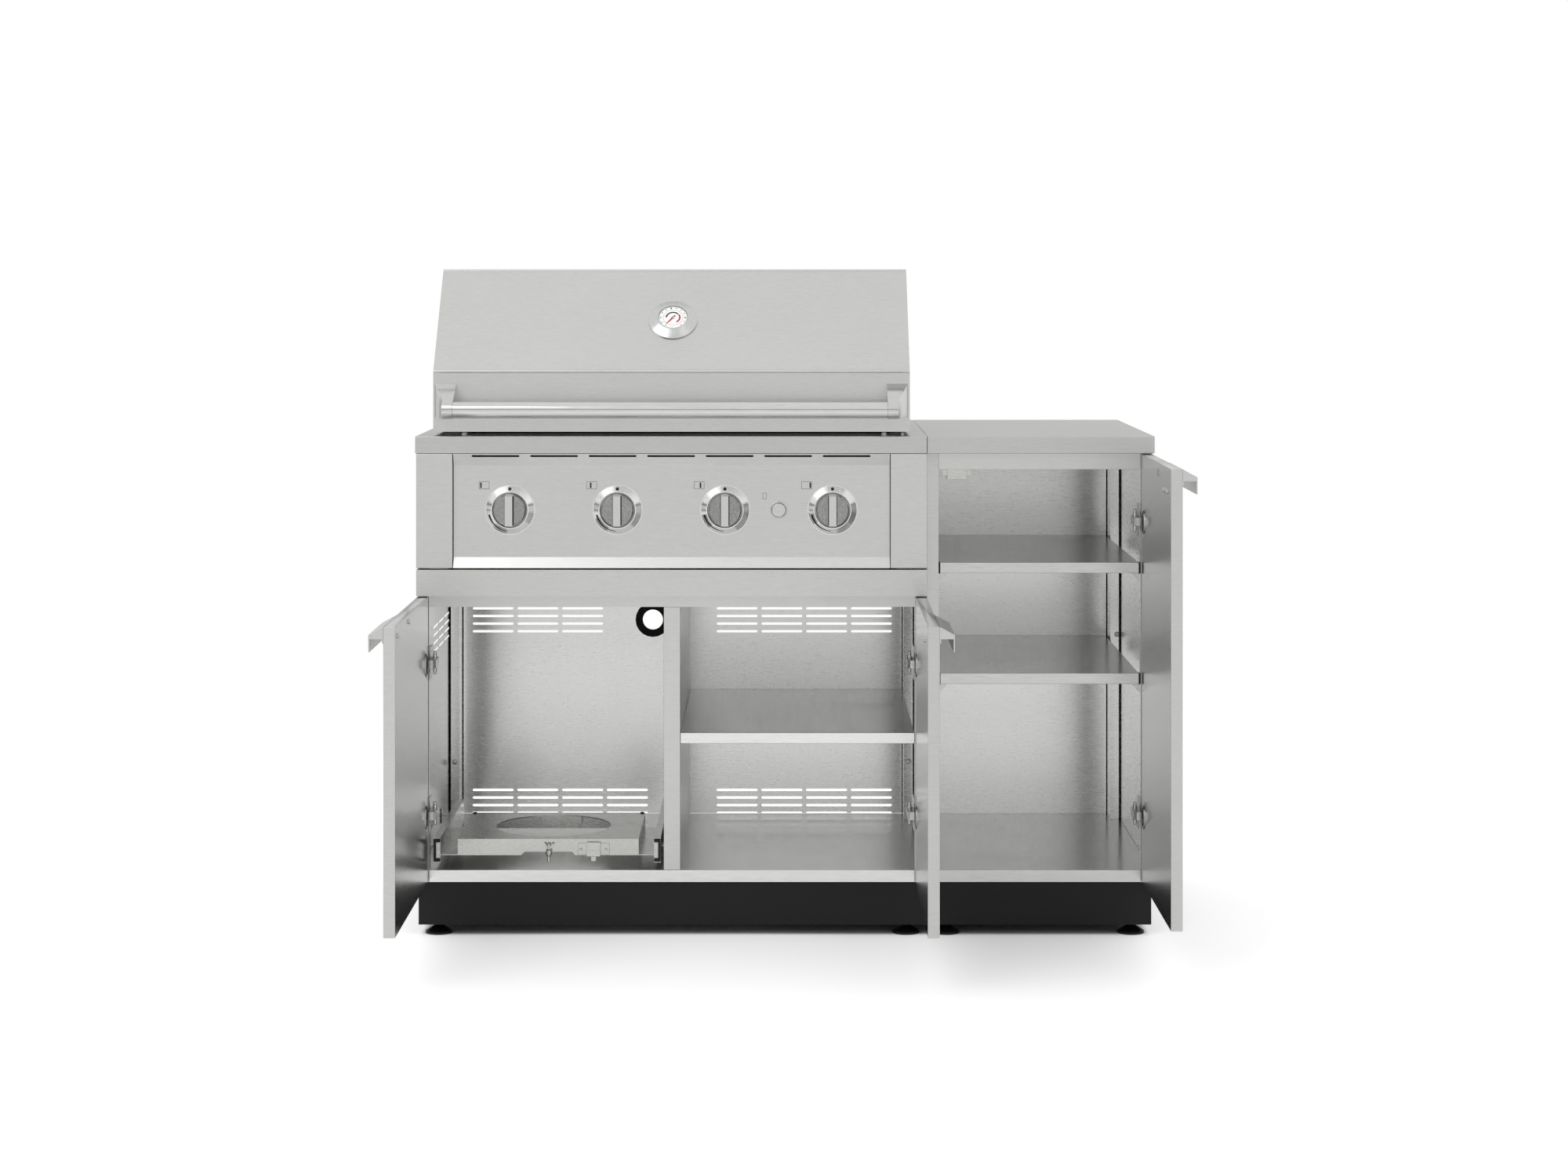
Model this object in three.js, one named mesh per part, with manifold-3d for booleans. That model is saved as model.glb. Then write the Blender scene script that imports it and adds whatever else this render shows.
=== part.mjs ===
// Outdoor kitchen island: a cabinet with a built-in four-burner gas grill and a narrow
// storage cabinet beside it, both of folded stainless sheet on levelling feet.
// Millimetres, +Z up, +X along the island, the front faces -Y. The doors stand open.
import * as THREE from 'three';
import * as BufferGeometryUtils from 'three/addons/utils/BufferGeometryUtils.js';
import Module from 'manifold-3d';

const wasm = await Module();
wasm.setup();

// Fits that every piece shares.
const fit = 0.3; // gap between pieces that touch
const runningFit = 0.6; // gap round pieces that slide or turn
const overrun = 5; // how far a cut runs past what it cuts
const sheet = 1.2; // cabinet sheet
const heavySheet = 1.5; // worktops, firebox, hood and control panel

// The two cabinets.
const worktopHeight = 914;
const worktopThickness = 31.5;
const worktopDepth = 600;
const grillWorktopWidth = 932;
const storageWorktopWidth = 414;
const worktopSeam = 0.3; // between the two worktops
const worktopFlange = 25; // turned in under the worktop
const endOverhang = 2; // worktop past the cabinet at the island's ends
const seamOverhang = 0.5; // worktop past the cabinet where the cabinets meet
const rearOverhang = 4;
const cabinetBottom = 98; // height of the floor pan's lower edge
const stileWidth = 21; // front return of a side panel
const stileLip = 18; // how far that return turns back
const postDepth = 66; // rear corner post, front to back
const postSeam = 3; // dark joint between post and side panel

// Doors.
const doorThickness = 20;
const doorStandOff = 4; // closed door in front of the cabinet
const doorSkin = 1;
const doorMeeting = 3; // gap between the two grill cabinet doors
const grillDoorDrop = 294; // grill doors' top edge below the worktop's top
const doorUnderWorktop = 2.5; // storage door below its worktop
const doorBottom = 100;
const openAngle = Math.PI / 2;
const pivotInset = 9.8; // hinge line from the cabinet's outer side
const hingeFromEnd = 122; // hinge centre from the door's top or bottom edge
const cupRadius = 17.5;
const cupDepth = 17;
const cupCentre = 27; // cup centre from the cabinet's outer side
const cupWall = 1;
const cupFlangeRadius = 21;
const drainRadius = 3;
const drainShares = [0.25, 0.75];

// Sheet pulls on the doors.
const pullLength = 175;
const pullReach = 25;
const pullDrop = 13.5;
const pullLip = 29;
const pullSheet = 2;
const pullFlange = 28;
const pullCheek = 7;
const pullCheekSheet = 1.5;
const pullInset = 1.5; // pull's end from the door's free edge

// Concealed hinge arms.
const armWidth = 13;
const armHeight = 15;
const armNose = 20; // in front of the cabinet
const armInset = 22; // arm's near side from the cabinet's outer side
const armTaper = 5;
const hingePlateHeight = 60;
const hingePlateThickness = 2;
const hingePlateLength = 38;

// Floor pans, rails, plinths and feet.
const floorRailHeight = 22;
const floorLip = 30;
const railReturn = 50;
const storageRailHeight = 30;
const plinthBottom = 19.5;
const plinthSetBack = 4;
const plinthSheet = 1.5;
const gussetSize = 62;
const gussetThickness = 3;
const footRadius = 25;
const footRim = 4;
const footNeckRadius = 8;
const footNeckHeight = 14;
const stemRadius = 5;
const nutRadius = 10;
const nutHeight = 7;
const footInset = 36; // foot centre from the cabinet's outer side
const footSetBack = 31; // foot centre behind the cabinet's front

// Grill cabinet.
const dividerWidth = 30;
const fasciaTopDrop = 243; // below the worktop's top, as the next four are
const fasciaBottomDrop = 291;
const topRailDrop = 313;
const storageShelfDrops = [232, 434.5];
const upperSlotDrop = 380.5; // topmost slot row of the back and sides
const fasciaSeam = 3; // dark gap between the fascia and what is above it
const shelfThickness = 19.5;
const grillShelfShare = 0.501; // of the way from the floor to the doors' top
const shelfClearance = 3; // at each end of a storage shelf
const slotLength = 83;
const slotHeight = 5;
const slotPitch = 90.3;
const slotRowPitch = 15.4;
const lowerSlotTop = 167; // topmost slot row near the floor
const slotRows = 4;
const slotColumns = 4;
const slotGroupShare = 0.26498; // slot group's middle from the middle of the back, of its width
const sideSlotColumns = 3;
const sideSlotEnd = 4; // last side slot in front of the rear post
const grommetRadius = 35;
const grommetHole = 20.5;
const grommetGroove = 25; // hole in the back panel
const grommetThickness = 9;
const grommetDrop = 403; // below the worktop's top
const grommetFromDivider = 45;

// Storage catch.
const catchWidth = 36;
const catchHeight = 18;
const catchDepth = 30;
const catchFromStile = 16;

// Gas bottle tray and its drawer slides.
const slideLength = 400;
const slideHeight = 45;
const slideDepth = 12.7;
const slideBottom = 131;
const slideSheet = 1.5;
const slideSetBack = 15;
const slideFromStile = 6;
const slideBracketLength = 22;
const slideBracketHeight = 30;
const bracketShares = [0.12, 0.88];
const trayTop = 169.4;
const trayDrop = 30; // raised platform above the wings
const trayWing = 47.875; // from the platform to the bay's side
const trayPlatformDepth = 266;
const trayFront = 40;
const traySheet = 1.5;
const bottleHoleRadius = 108;
const notchWidth = 100;
const notchTopWidth = 87;
const notchHeight = 6.5;

// Control box.
const cheekWidth = 66;
const cheekReturn = 20;
const panelSeam = 1; // between a cheek and the control panel
const panelRecess = 10;
const panelBand = 22; // sloped band under the worktop
const panelBevel = 19.5; // sloped band above the fascia
const panelReturn = 16;
const ventCount = 7;
const ventGap = 19.5;
const ventHeight = 3.6;
const ventPitchShare = 0.13388; // of the panel's width
const ventFromTop = 4.4;
const knobCount = 4;
const knobPitchShare = 0.24626; // of the panel's width
const knobDrop = 134.7; // knob centres below the worktop's top
const bezelRadius = 44;
const bezelTopRadius = 34;
const bezelBore = 32;
const bezelDepth = 9;
const knobRadius = 30;
const knobRim = 2;
const knobSkirt = 13;
const gripWidth = 13.5;
const gripDepth = 14;
const knobSetBack = 5; // back of the knob in front of the panel
const knobBore = 4.8;
const knobBoreDepth = 16;
const buttonRadius = 12.5;
const buttonLength = 16;
const buttonProud = 3.5;
const collarRadius = 15.5;
const collarDepth = 3;

// Gas manifold and burners.
const pipeRadius = 9;
const pipeSetBack = 8; // pipe axis behind the cabinet's front
const valveWidth = 26;
const valveHeight = 30;
const valveFront = 9; // valve body in front of the cabinet's front
const valveBack = 16;
const valveStemRadius = 4;
const stemInKnob = 12;
const nozzleRadius = 4;
const nozzleLength = 10;
const burnerRadius = 14;
const burnerWall = 2;
const burnerFront = 22;
const burnerFromRear = 32; // closed end in front of the firebox's rear wall
const rearBarHeight = 24;
const rearBarThickness = 3;

// Firebox, grates and grease tray.
const fireboxInset = 46.75; // from the cabinet's outer side
const fireboxFront = 36;
const fireboxFromBack = 72; // firebox's rear wall in front of the cabinet's back
const fireboxDrop = 214; // firebox's bottom below the worktop's top
const rimOverlap = 8;
const ledgeWidth = 14;
const ledgeDrop = 42; // grate ledges below the worktop's top
const greaseMouthMargin = 40;
const runnerDrop = 46;
const runnerLip = 14;
const grateGap = 2;
const rodWidth = 7;
const rodPitch = 19;
const frameBar = 9;
const grateEdge = 1;
const greaseTrayHeight = 34;
const greaseTrayFront = 60;
const greaseSlotMargin = 3;
const fingerSlotLength = 100;
const fingerSlotHeight = 16;

// Hood.
const hoodInset = 30.75; // from the worktop's end
const hoodSetBack = 20; // behind the worktop's front edge
const hoodLift = 7.3; // above the worktop
const hoodBend = 115.5; // lower front panel's top, above the worktop
const hoodTop = 303.7; // above the worktop
const hoodSlopeRun = 166;
const hoodShoulder = 196; // rear bend above the worktop
const hoodRearBottom = 51; // rear panel's lower edge above the worktop
const hoodTopFromBack = 152; // in front of the cabinet's back, as the next three are
const hoodFromBack = 60;
const hoodCornerFromBack = 132; // where the side panel's lower edge turns up
const hoodPivotFromBack = 92;
const hoodPivotHeight = 51; // above the worktop
const pinRadius = 5.5;
const pinHoleRadius = 6.3;
const pinLength = 5;
const earWidth = 34;
const earThickness = 3;

// Hood handle and thermometer.
const handleRadius = 15;
const handleWall = 1.5;
const handleInset = 42.75; // tube's end from the hood's side
const handleStandOff = 56; // tube axis in front of the hood
const handleHeight = 49.5; // tube axis above the worktop
const capRadius = 16;
const capLength = 19.5;
const handlePostTop = 95; // above the worktop, at the hood's face
const handlePostInset = 3; // post's outer side from the hood's side
const dialHeight = 208.9; // thermometer's centre above the worktop
const dialRadius = 45;
const dialRimRadius = 30;
const dialRimDepth = 11;
const dialFaceRadius = 27;
const dialFaceDepth = 5;
const dialBase = 3;
const probeRadius = 4;
const probeLength = 60;
const probeHole = 6;

// Smoothness of round shapes: segments in a full turn.
const fineSegments = 32;
const plainSegments = 20;
const smallSegments = 12;
const slotEndSteps = 3;

// Derived places. X runs from each cabinet's outer left side.
const frontOverhang = doorStandOff + doorThickness;
const cabinetDepth = worktopDepth - frontOverhang - rearOverhang;
const grillCabinetWidth = grillWorktopWidth - endOverhang - seamOverhang;
const storageCabinetWidth = storageWorktopWidth - endOverhang - seamOverhang;
const worktopUnderside = worktopHeight - worktopThickness;
const cabinetTop = worktopUnderside - fit;
const floorTop = cabinetBottom + floorRailHeight;
const grillDoorTop = worktopHeight - grillDoorDrop;
const fasciaTop = worktopHeight - fasciaTopDrop;
const fasciaBottom = worktopHeight - fasciaBottomDrop;
const topRailBottom = worktopHeight - topRailDrop;
const grillShelfTop = floorTop + grillShelfShare * (grillDoorTop - floorTop);
const storageShelfTops = storageShelfDrops.map((drop) => worktopHeight - drop);
const upperSlotTop = worktopHeight - upperSlotDrop;
const grommetHeight = worktopHeight - grommetDrop;
const knobHeight = worktopHeight - knobDrop;
const ledgeHeight = worktopHeight - ledgeDrop;
const fireboxBottom = worktopHeight - fireboxDrop;
const fireboxBack = cabinetDepth - fireboxFromBack;
const burnerBack = fireboxBack - burnerFromRear;
const hoodTopBack = cabinetDepth - hoodTopFromBack;
const hoodBack = cabinetDepth - hoodFromBack;
const hoodCornerCut = cabinetDepth - hoodCornerFromBack;
const hoodPivotBack = cabinetDepth - hoodPivotFromBack;
const hoodWidth = grillWorktopWidth - 2 * hoodInset;
const handleLength = hoodWidth - 2 * handleInset;
const fireboxWidth = grillCabinetWidth - 2 * fireboxInset;
const slotGroupOffset = slotGroupShare * grillCabinetWidth;
const grillCentre = grillWorktopWidth / 2 - endOverhang;
const dividerLeft = (grillCabinetWidth - dividerWidth) / 2;
const dividerRight = dividerLeft + dividerWidth;
const storageStart = grillWorktopWidth + worktopSeam + seamOverhang;
const storageDoorTop = worktopUnderside - doorUnderWorktop;
const pivotY = -(doorStandOff + doorThickness / 2);
const postFront = cabinetDepth - postDepth;
const hoodFront = -frontOverhang + hoodSetBack;
const panelFace = -frontOverhang + panelRecess;
const panelBottom = fasciaTop + fasciaSeam;
const panelLeft = cheekWidth + panelSeam;
const panelRight = grillCabinetWidth - cheekWidth - panelSeam;
const panelWidth = panelRight - panelLeft;
const knobPitch = knobPitchShare * panelWidth;
const ventPitch = ventPitchShare * panelWidth;
const ventLength = ventPitch - ventGap;
const knobXs = Array.from({ length: knobCount },
  (_, i) => grillCentre + (i - (knobCount - 1) / 2) * knobPitch);
const igniterX = (knobXs[knobCount - 2] + knobXs[knobCount - 1]) / 2;

// Finishes: colour, roughness and metalness.
const finishes = {
  brushed: { color: 0xc9c9c7, roughness: 0.38, metalness: 1 },
  worktop: { color: 0xb4b4b2, roughness: 0.42, metalness: 1 },
  polished: { color: 0xdedede, roughness: 0.12, metalness: 1 },
  zinc: { color: 0xb9bcbd, roughness: 0.35, metalness: 1 },
  blackSteel: { color: 0x1c1c1c, roughness: 0.5, metalness: 0.3 },
  blackPlastic: { color: 0x060606, roughness: 0.6, metalness: 0 },
  rubber: { color: 0x101010, roughness: 0.85, metalness: 0 },
  aluminised: { color: 0x9c9c9a, roughness: 0.5, metalness: 1 },
  dial: { color: 0xe6e6e4, roughness: 0.2, metalness: 0.6 },
};

// A closed geometry as a solid that can be joined and cut.
function solid(geometry) {
  const bare = geometry.clone();
  bare.deleteAttribute('normal');
  bare.deleteAttribute('uv');
  const merged = BufferGeometryUtils.mergeVertices(bare);
  const corners = merged.index.array;
  const triVerts = [];
  for (let i = 0; i < corners.length; i += 3) {
    const [a, b, c] = corners.slice(i, i + 3);
    if (a !== b && b !== c && c !== a) triVerts.push(a, b, c);
  }
  return new wasm.Manifold(new wasm.Mesh({
    numProp: 3,
    vertProperties: merged.getAttribute('position').array,
    triVerts: new Uint32Array(triVerts),
  }));
}

// A box between two values on each axis.
function block([x0, x1], [y0, y1], [z0, z1]) {
  const geometry = new THREE.BoxGeometry(x1 - x0, y1 - y0, z1 - z0);
  geometry.translate((x0 + x1) / 2, (y0 + y1) / 2, (z0 + z1) / 2);
  return solid(geometry);
}

function shapeOf(points) {
  return new THREE.Shape(points.map(([u, v]) => new THREE.Vector2(u, v)));
}

// An outline in plan, pushed up from z0 to z1.
function upright(points, [z0, z1]) {
  const geometry = new THREE.ExtrudeGeometry(shapeOf(points), { depth: z1 - z0, bevelEnabled: false });
  geometry.translate(0, 0, z0);
  return solid(geometry);
}

// An outline in Y and Z, pushed along X.
function across(points, [x0, x1]) {
  const geometry = new THREE.ExtrudeGeometry(shapeOf(points), { depth: x1 - x0, bevelEnabled: false });
  const turn = new THREE.Matrix4().makeBasis(
    new THREE.Vector3(0, 1, 0), new THREE.Vector3(0, 0, 1), new THREE.Vector3(1, 0, 0));
  geometry.applyMatrix4(turn);
  geometry.translate(x0, 0, 0);
  return solid(geometry);
}

// An outline in X and Z, pushed along Y.
function facing(points, [y0, y1]) {
  const geometry = new THREE.ExtrudeGeometry(shapeOf(points), { depth: y1 - y0, bevelEnabled: false });
  geometry.rotateX(Math.PI / 2);
  geometry.translate(0, y1, 0);
  return solid(geometry);
}

// A turned body: radius and height pairs about Z, moved and turned by a matrix.
function turned(profile, segments, matrix = new THREE.Matrix4()) {
  const geometry = new THREE.LatheGeometry(profile.map(([r, h]) => new THREE.Vector2(r, h)), segments);
  geometry.rotateX(Math.PI / 2);
  geometry.applyMatrix4(matrix);
  return solid(geometry);
}

// Heights along a turned profile run towards the front, -Y, from a point.
function towardsFront(x, y, z) {
  return new THREE.Matrix4().makeTranslation(x, y, z)
    .multiply(new THREE.Matrix4().makeRotationX(Math.PI / 2));
}

// Heights along a turned profile run along +X from a point.
function alongX(x, y, z) {
  return new THREE.Matrix4().makeTranslation(x, y, z)
    .multiply(new THREE.Matrix4().makeRotationY(Math.PI / 2));
}

function rod(radius, length) {
  return [[0, 0], [radius, 0], [radius, length], [0, length]];
}

function joined(solids) {
  return solids.reduce((sum, next) => sum.add(next));
}

function cut(body, tools) {
  return tools.length ? body.subtract(joined(tools)) : body;
}

// A long slot with round ends, as an outline about its centre.
function slotOutline(centreU, centreV, length, height) {
  const radius = height / 2;
  return [1, -1].flatMap((side) => Array.from({ length: slotEndSteps + 1 }, (_, i) => {
    const angle = (-side * Math.PI) / 2 + (Math.PI * i) / slotEndSteps;
    return [
      centreU + side * (length / 2 - radius) + radius * Math.cos(angle),
      centreV + radius * Math.sin(angle),
    ];
  }));
}

function geometryOf(body) {
  const { numProp, vertProperties, triVerts } = body.getMesh();
  const geometry = new THREE.BufferGeometry();
  geometry.setAttribute('position', new THREE.BufferAttribute(new Float32Array(vertProperties), numProp));
  geometry.setIndex(new THREE.BufferAttribute(new Uint32Array(triVerts), 1));
  geometry.computeVertexNormals();
  return geometry;
}

function part(name, body, finish, parent) {
  const mesh = new THREE.Mesh(geometryOf(body), new THREE.MeshStandardMaterial(finishes[finish]));
  mesh.name = name;
  parent.add(mesh);
  return mesh;
}

function groupAt(parent, x, y = 0, z = 0) {
  const group = new THREE.Group();
  group.position.set(x, y, z);
  parent.add(group);
  return group;
}

// An X position seen from the left or the right side of a cabinet.
function mirrored(width, side) {
  return (x) => (side === 'left' ? x : width - x);
}

function span(a, b) {
  return a < b ? [a, b] : [b, a];
}

const island = new THREE.Group();
const assembled = new THREE.Group();
island.add(assembled);
const grill = groupAt(assembled, endOverhang);
const storage = groupAt(assembled, storageStart);

// Side panel in plan: outer skin, front stile and its lip turned back.
function sidePlan() {
  return [
    [0, 0], [stileWidth, 0], [stileWidth, stileLip], [stileWidth - sheet, stileLip],
    [stileWidth - sheet, sheet], [sheet, sheet], [sheet, cabinetDepth], [0, cabinetDepth],
  ];
}

// Rows of vent slots as cutting tools, through a sheet seen along the given pushing function.
function slotTools(push, centres, top, rows, through) {
  const heights = Array.from({ length: rows }, (_, row) => top - row * slotRowPitch);
  return heights.flatMap((height) => centres.map((centre) => push(centre, height, through)));
}

function slotThroughSide(centre, height, through) {
  return across(slotOutline(centre, height, slotLength, slotHeight), through);
}

function slotThroughBack(centre, height, through) {
  return facing(slotOutline(centre, height, slotLength, slotHeight), through);
}

for (const side of ['left', 'right']) {
  const place = mirrored(grillCabinetWidth, side);
  const skin = upright(sidePlan().map(([x, y]) => [place(x), y]), [cabinetBottom, cabinetTop]);
  const lastSlot = postFront - sideSlotEnd - slotLength / 2;
  const centres = Array.from({ length: sideSlotColumns }, (_, i) => lastSlot - i * slotPitch);
  const through = span(place(-overrun), place(sheet + overrun));
  part(`grill_side_${side}`, cut(skin, slotTools(slotThroughSide, centres, upperSlotTop, slotRows, through)),
    'brushed', grill);
}

// Folded back panel in plan, with a corner post at each end.
function backPlan(width) {
  const [seam, inner, back] = [sheet + postSeam, stileWidth, cabinetDepth];
  const inside = [[seam, postFront], [inner, postFront], [inner, back - sheet]];
  const outside = [
    [seam, postFront + sheet], [inner - sheet, postFront + sheet], [inner - sheet, back - sheet],
    [sheet + fit, back - sheet], [sheet + fit, back],
  ];
  const flip = ([x, y]) => [width - x, y];
  return [...inside, ...inside.map(flip).reverse(), ...outside.map(flip), ...outside.slice().reverse()];
}

const slotGroupCentres = [grillCentre - slotGroupOffset, grillCentre + slotGroupOffset];
const grommetX = dividerLeft - grommetFromDivider;
const backFloor = floorTop + fit;
const backTop = cabinetTop - fit;
const backThrough = [postFront + overrun, cabinetDepth + overrun];
const greaseTrayTop = fireboxBottom - runnerDrop + greaseTrayHeight;
const greaseTrayBottom = fireboxBottom - runnerDrop + sheet + fit;
const greaseTrayHalf = (fireboxWidth / 2) - runnerLip / 2;

// The hose grommet takes the place of the left group's last upper column.
const backSlots = slotGroupCentres.flatMap((centre, bay) => {
  const columns = Array.from({ length: slotColumns },
    (_, i) => centre + (i - (slotColumns - 1) / 2) * slotPitch);
  const upper = bay === 0 ? columns.slice(0, -1) : columns;
  return [
    ...slotTools(slotThroughBack, upper, upperSlotTop, slotRows, backThrough),
    ...slotTools(slotThroughBack, columns, lowerSlotTop, slotRows, backThrough),
  ];
});
const grommetCut = turned(rod(grommetGroove, 2 * overrun + postDepth), plainSegments,
  towardsFront(grommetX, cabinetDepth + overrun, grommetHeight));
const greaseSlot = block(
  [grillCentre - greaseTrayHalf - greaseSlotMargin, grillCentre + greaseTrayHalf + greaseSlotMargin],
  backThrough,
  [greaseTrayBottom - greaseSlotMargin, greaseTrayTop + greaseSlotMargin]);
part('grill_back',
  cut(upright(backPlan(grillCabinetWidth), [backFloor, backTop]), [...backSlots, grommetCut, greaseSlot]),
  'brushed', grill);

// Rubber grommet for the gas hose, its groove round the edge of the hole.
part('hose_grommet', turned([
  [grommetHole, 0], [grommetRadius, 0], [grommetRadius, grommetThickness / 2 - sheet],
  [grommetGroove - fit, grommetThickness / 2 - sheet], [grommetGroove - fit, grommetThickness / 2 + sheet],
  [grommetRadius, grommetThickness / 2 + sheet], [grommetRadius, grommetThickness],
  [grommetHole, grommetThickness], [grommetHole, 0],
], plainSegments, towardsFront(grommetX, cabinetDepth - sheet / 2 + grommetThickness / 2, grommetHeight)),
'rubber', grill);

// Floor pan: the front rail below it, and lips turned in at the front and the rear.
function floorPan(width) {
  const rear = cabinetDepth - sheet - fit;
  const pan = across([
    [0, cabinetBottom], [floorLip, cabinetBottom], [floorLip, cabinetBottom + sheet],
    [sheet, cabinetBottom + sheet], [sheet, floorTop - sheet], [rear - sheet, floorTop - sheet],
    [rear - sheet, cabinetBottom], [rear, cabinetBottom], [rear, floorTop], [0, floorTop],
  ], [sheet + fit, width - sheet - fit]);
  const corners = [[0, stileWidth + fit], [width - stileWidth - fit, width]].map((x) => (
    block(x, [-overrun, stileLip + fit], [cabinetBottom - overrun, floorTop + overrun])));
  return cut(pan, corners);
}

part('grill_floor', floorPan(grillCabinetWidth), 'brushed', grill);
part('storage_floor', floorPan(storageCabinetWidth), 'brushed', storage);

// Black plinth frame with a gusset for a foot in each corner.
function footCentres(width) {
  const ys = [footSetBack, cabinetDepth - footSetBack];
  return ys.flatMap((y) => [footInset, width - footInset].map((x) => [x, y]));
}

function plinth(width) {
  const top = cabinetBottom - fit;
  const [x0, x1] = [sheet, width - sheet];
  const [y0, y1] = [plinthSetBack, cabinetDepth - plinthSetBack];
  const frame = block([x0, x1], [y0, y1], [plinthBottom, top]).subtract(
    block([x0 + plinthSheet, x1 - plinthSheet], [y0 + plinthSheet, y1 - plinthSheet],
      [plinthBottom - overrun, top + overrun]));
  const gussets = [[x0, x0 + gussetSize], [x1 - gussetSize, x1]].flatMap((x) => (
    [[y0, y0 + gussetSize], [y1 - gussetSize, y1]].map((y) => block(x, y, [top - gussetThickness, top]))));
  const holes = footCentres(width).map(([x, y]) => turned(rod(stemRadius + runningFit, top), smallSegments,
    new THREE.Matrix4().makeTranslation(x, y, overrun)));
  return cut(joined([frame, ...gussets]), holes);
}

// Levelling foot: a round pad, a threaded stem and the nut that carries the plinth.
function foot() {
  const nutTop = cabinetBottom - fit - gussetThickness - fit;
  return turned([
    [0, 0], [footRadius, 0], [footRadius, footRim], [footNeckRadius, footNeckHeight],
    [stemRadius, footNeckHeight], [stemRadius, nutTop - nutHeight], [nutRadius, nutTop - nutHeight],
    [nutRadius, nutTop], [stemRadius, nutTop], [stemRadius, cabinetBottom - fit], [0, cabinetBottom - fit],
  ], plainSegments);
}

const footNames = ['front_left', 'front_right', 'rear_left', 'rear_right'];
for (const [cabinet, parent, width] of [
  ['grill', grill, grillCabinetWidth], ['storage', storage, storageCabinetWidth],
]) {
  part(`${cabinet}_plinth`, plinth(width), 'blackSteel', parent);
  footCentres(width).forEach(([x, y], i) => {
    part(`${cabinet}_foot_${footNames[i]}`, foot(), 'blackPlastic', parent).position.set(x, y, 0);
  });
}

// Storage cabinet wrapper: both sides and the back from one sheet, corner posts welded in.
function wrapperPlan(width) {
  const left = sidePlan().slice(0, 6);
  const flip = ([x, y]) => [width - x, y];
  return [
    ...left, [sheet, cabinetDepth - sheet], [width - sheet, cabinetDepth - sheet],
    ...left.map(flip).reverse(), [width, cabinetDepth], [0, cabinetDepth],
  ];
}

function cornerPost(width, side) {
  const place = mirrored(width, side);
  const plan = [
    [sheet + postSeam, postFront], [stileWidth, postFront], [stileWidth, cabinetDepth - sheet / 2],
    [stileWidth - sheet, cabinetDepth - sheet / 2], [stileWidth - sheet, postFront + sheet],
    [sheet + postSeam, postFront + sheet],
  ];
  return upright(plan.map(([x, y]) => [place(x), y]), [backFloor, backTop]);
}

const wrapper = upright(wrapperPlan(storageCabinetWidth), [cabinetBottom, cabinetTop]);
const wrapperPosts = ['left', 'right'].map((side) => cornerPost(storageCabinetWidth, side));
part('storage_wrapper', joined([wrapper, ...wrapperPosts]), 'brushed', storage);

// Storage top rail between the stiles, folded back under the worktop.
const storageRailBottom = cabinetTop - storageRailHeight;
part('storage_top_rail', across([
  [0, storageRailBottom], [sheet, storageRailBottom], [sheet, cabinetTop - sheet],
  [railReturn, cabinetTop - sheet], [railReturn, cabinetTop], [0, cabinetTop],
], [stileWidth + fit, storageCabinetWidth - stileWidth - fit]), 'brushed', storage);

// Magnetic catch, its plate screwed to the back of that rail.
const catchStart = stileWidth + catchFromStile;
const catchTop = storageRailBottom - fit;
part('magnetic_catch', across([
  [sheet + fit, catchTop - catchHeight], [catchDepth, catchTop - catchHeight], [catchDepth, catchTop],
  [2 * sheet + fit, catchTop], [2 * sheet + fit, cabinetTop - sheet - fit],
  [sheet + fit, cabinetTop - sheet - fit],
], [catchStart, catchStart + catchWidth]), 'zinc', storage);

// Shelves: a folded tray with its edges turned down.
function shelf([x0, x1], top) {
  const [y0, y1] = [sheet + fit, cabinetDepth - sheet - fit - fit];
  return block([x0, x1], [y0, y1], [top - shelfThickness, top]).subtract(
    block([x0 + sheet, x1 - sheet], [y0 + sheet, y1 - sheet],
      [top - shelfThickness - overrun, top - sheet]));
}

part('grill_shelf', shelf([dividerRight + fit, grillCabinetWidth - stileWidth - fit], grillShelfTop),
  'brushed', grill);
['upper', 'lower'].forEach((level, i) => {
  const end = stileWidth + shelfClearance;
  part(`storage_shelf_${level}`, shelf([end, storageCabinetWidth - end], storageShelfTops[i]),
    'brushed', storage);
});

// Divider: a hollow folded panel between the two bays.
const dividerTop = topRailBottom - fit;
const dividerHollow = block([dividerLeft + sheet, dividerRight - sheet],
  [sheet, cabinetDepth - 2 * sheet - fit], [backFloor - overrun, dividerTop + overrun]);
part('grill_divider',
  block([dividerLeft, dividerRight], [0, cabinetDepth - sheet - fit], [backFloor, dividerTop])
    .subtract(dividerHollow), 'brushed', grill);

// Fascia rail: a folded channel in line with the closed doors, and the rail behind it.
part('grill_fascia', joined([
  across([
    [-frontOverhang, fasciaBottom], [-fit, fasciaBottom], [-fit, fasciaBottom + sheet],
    [-frontOverhang + sheet, fasciaBottom + sheet], [-frontOverhang + sheet, fasciaTop - sheet],
    [-fit, fasciaTop - sheet], [-fit, fasciaTop], [-frontOverhang, fasciaTop],
  ], [0, grillCabinetWidth]),
  block([stileWidth + fit, grillCabinetWidth - stileWidth - fit], [-sheet - fit, sheet],
    [fasciaBottom, fasciaBottom + sheet]),
  block([stileWidth + fit, grillCabinetWidth - stileWidth - fit], [0, sheet],
    [topRailBottom, fasciaBottom + sheet]),
]), 'brushed', grill);

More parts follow.
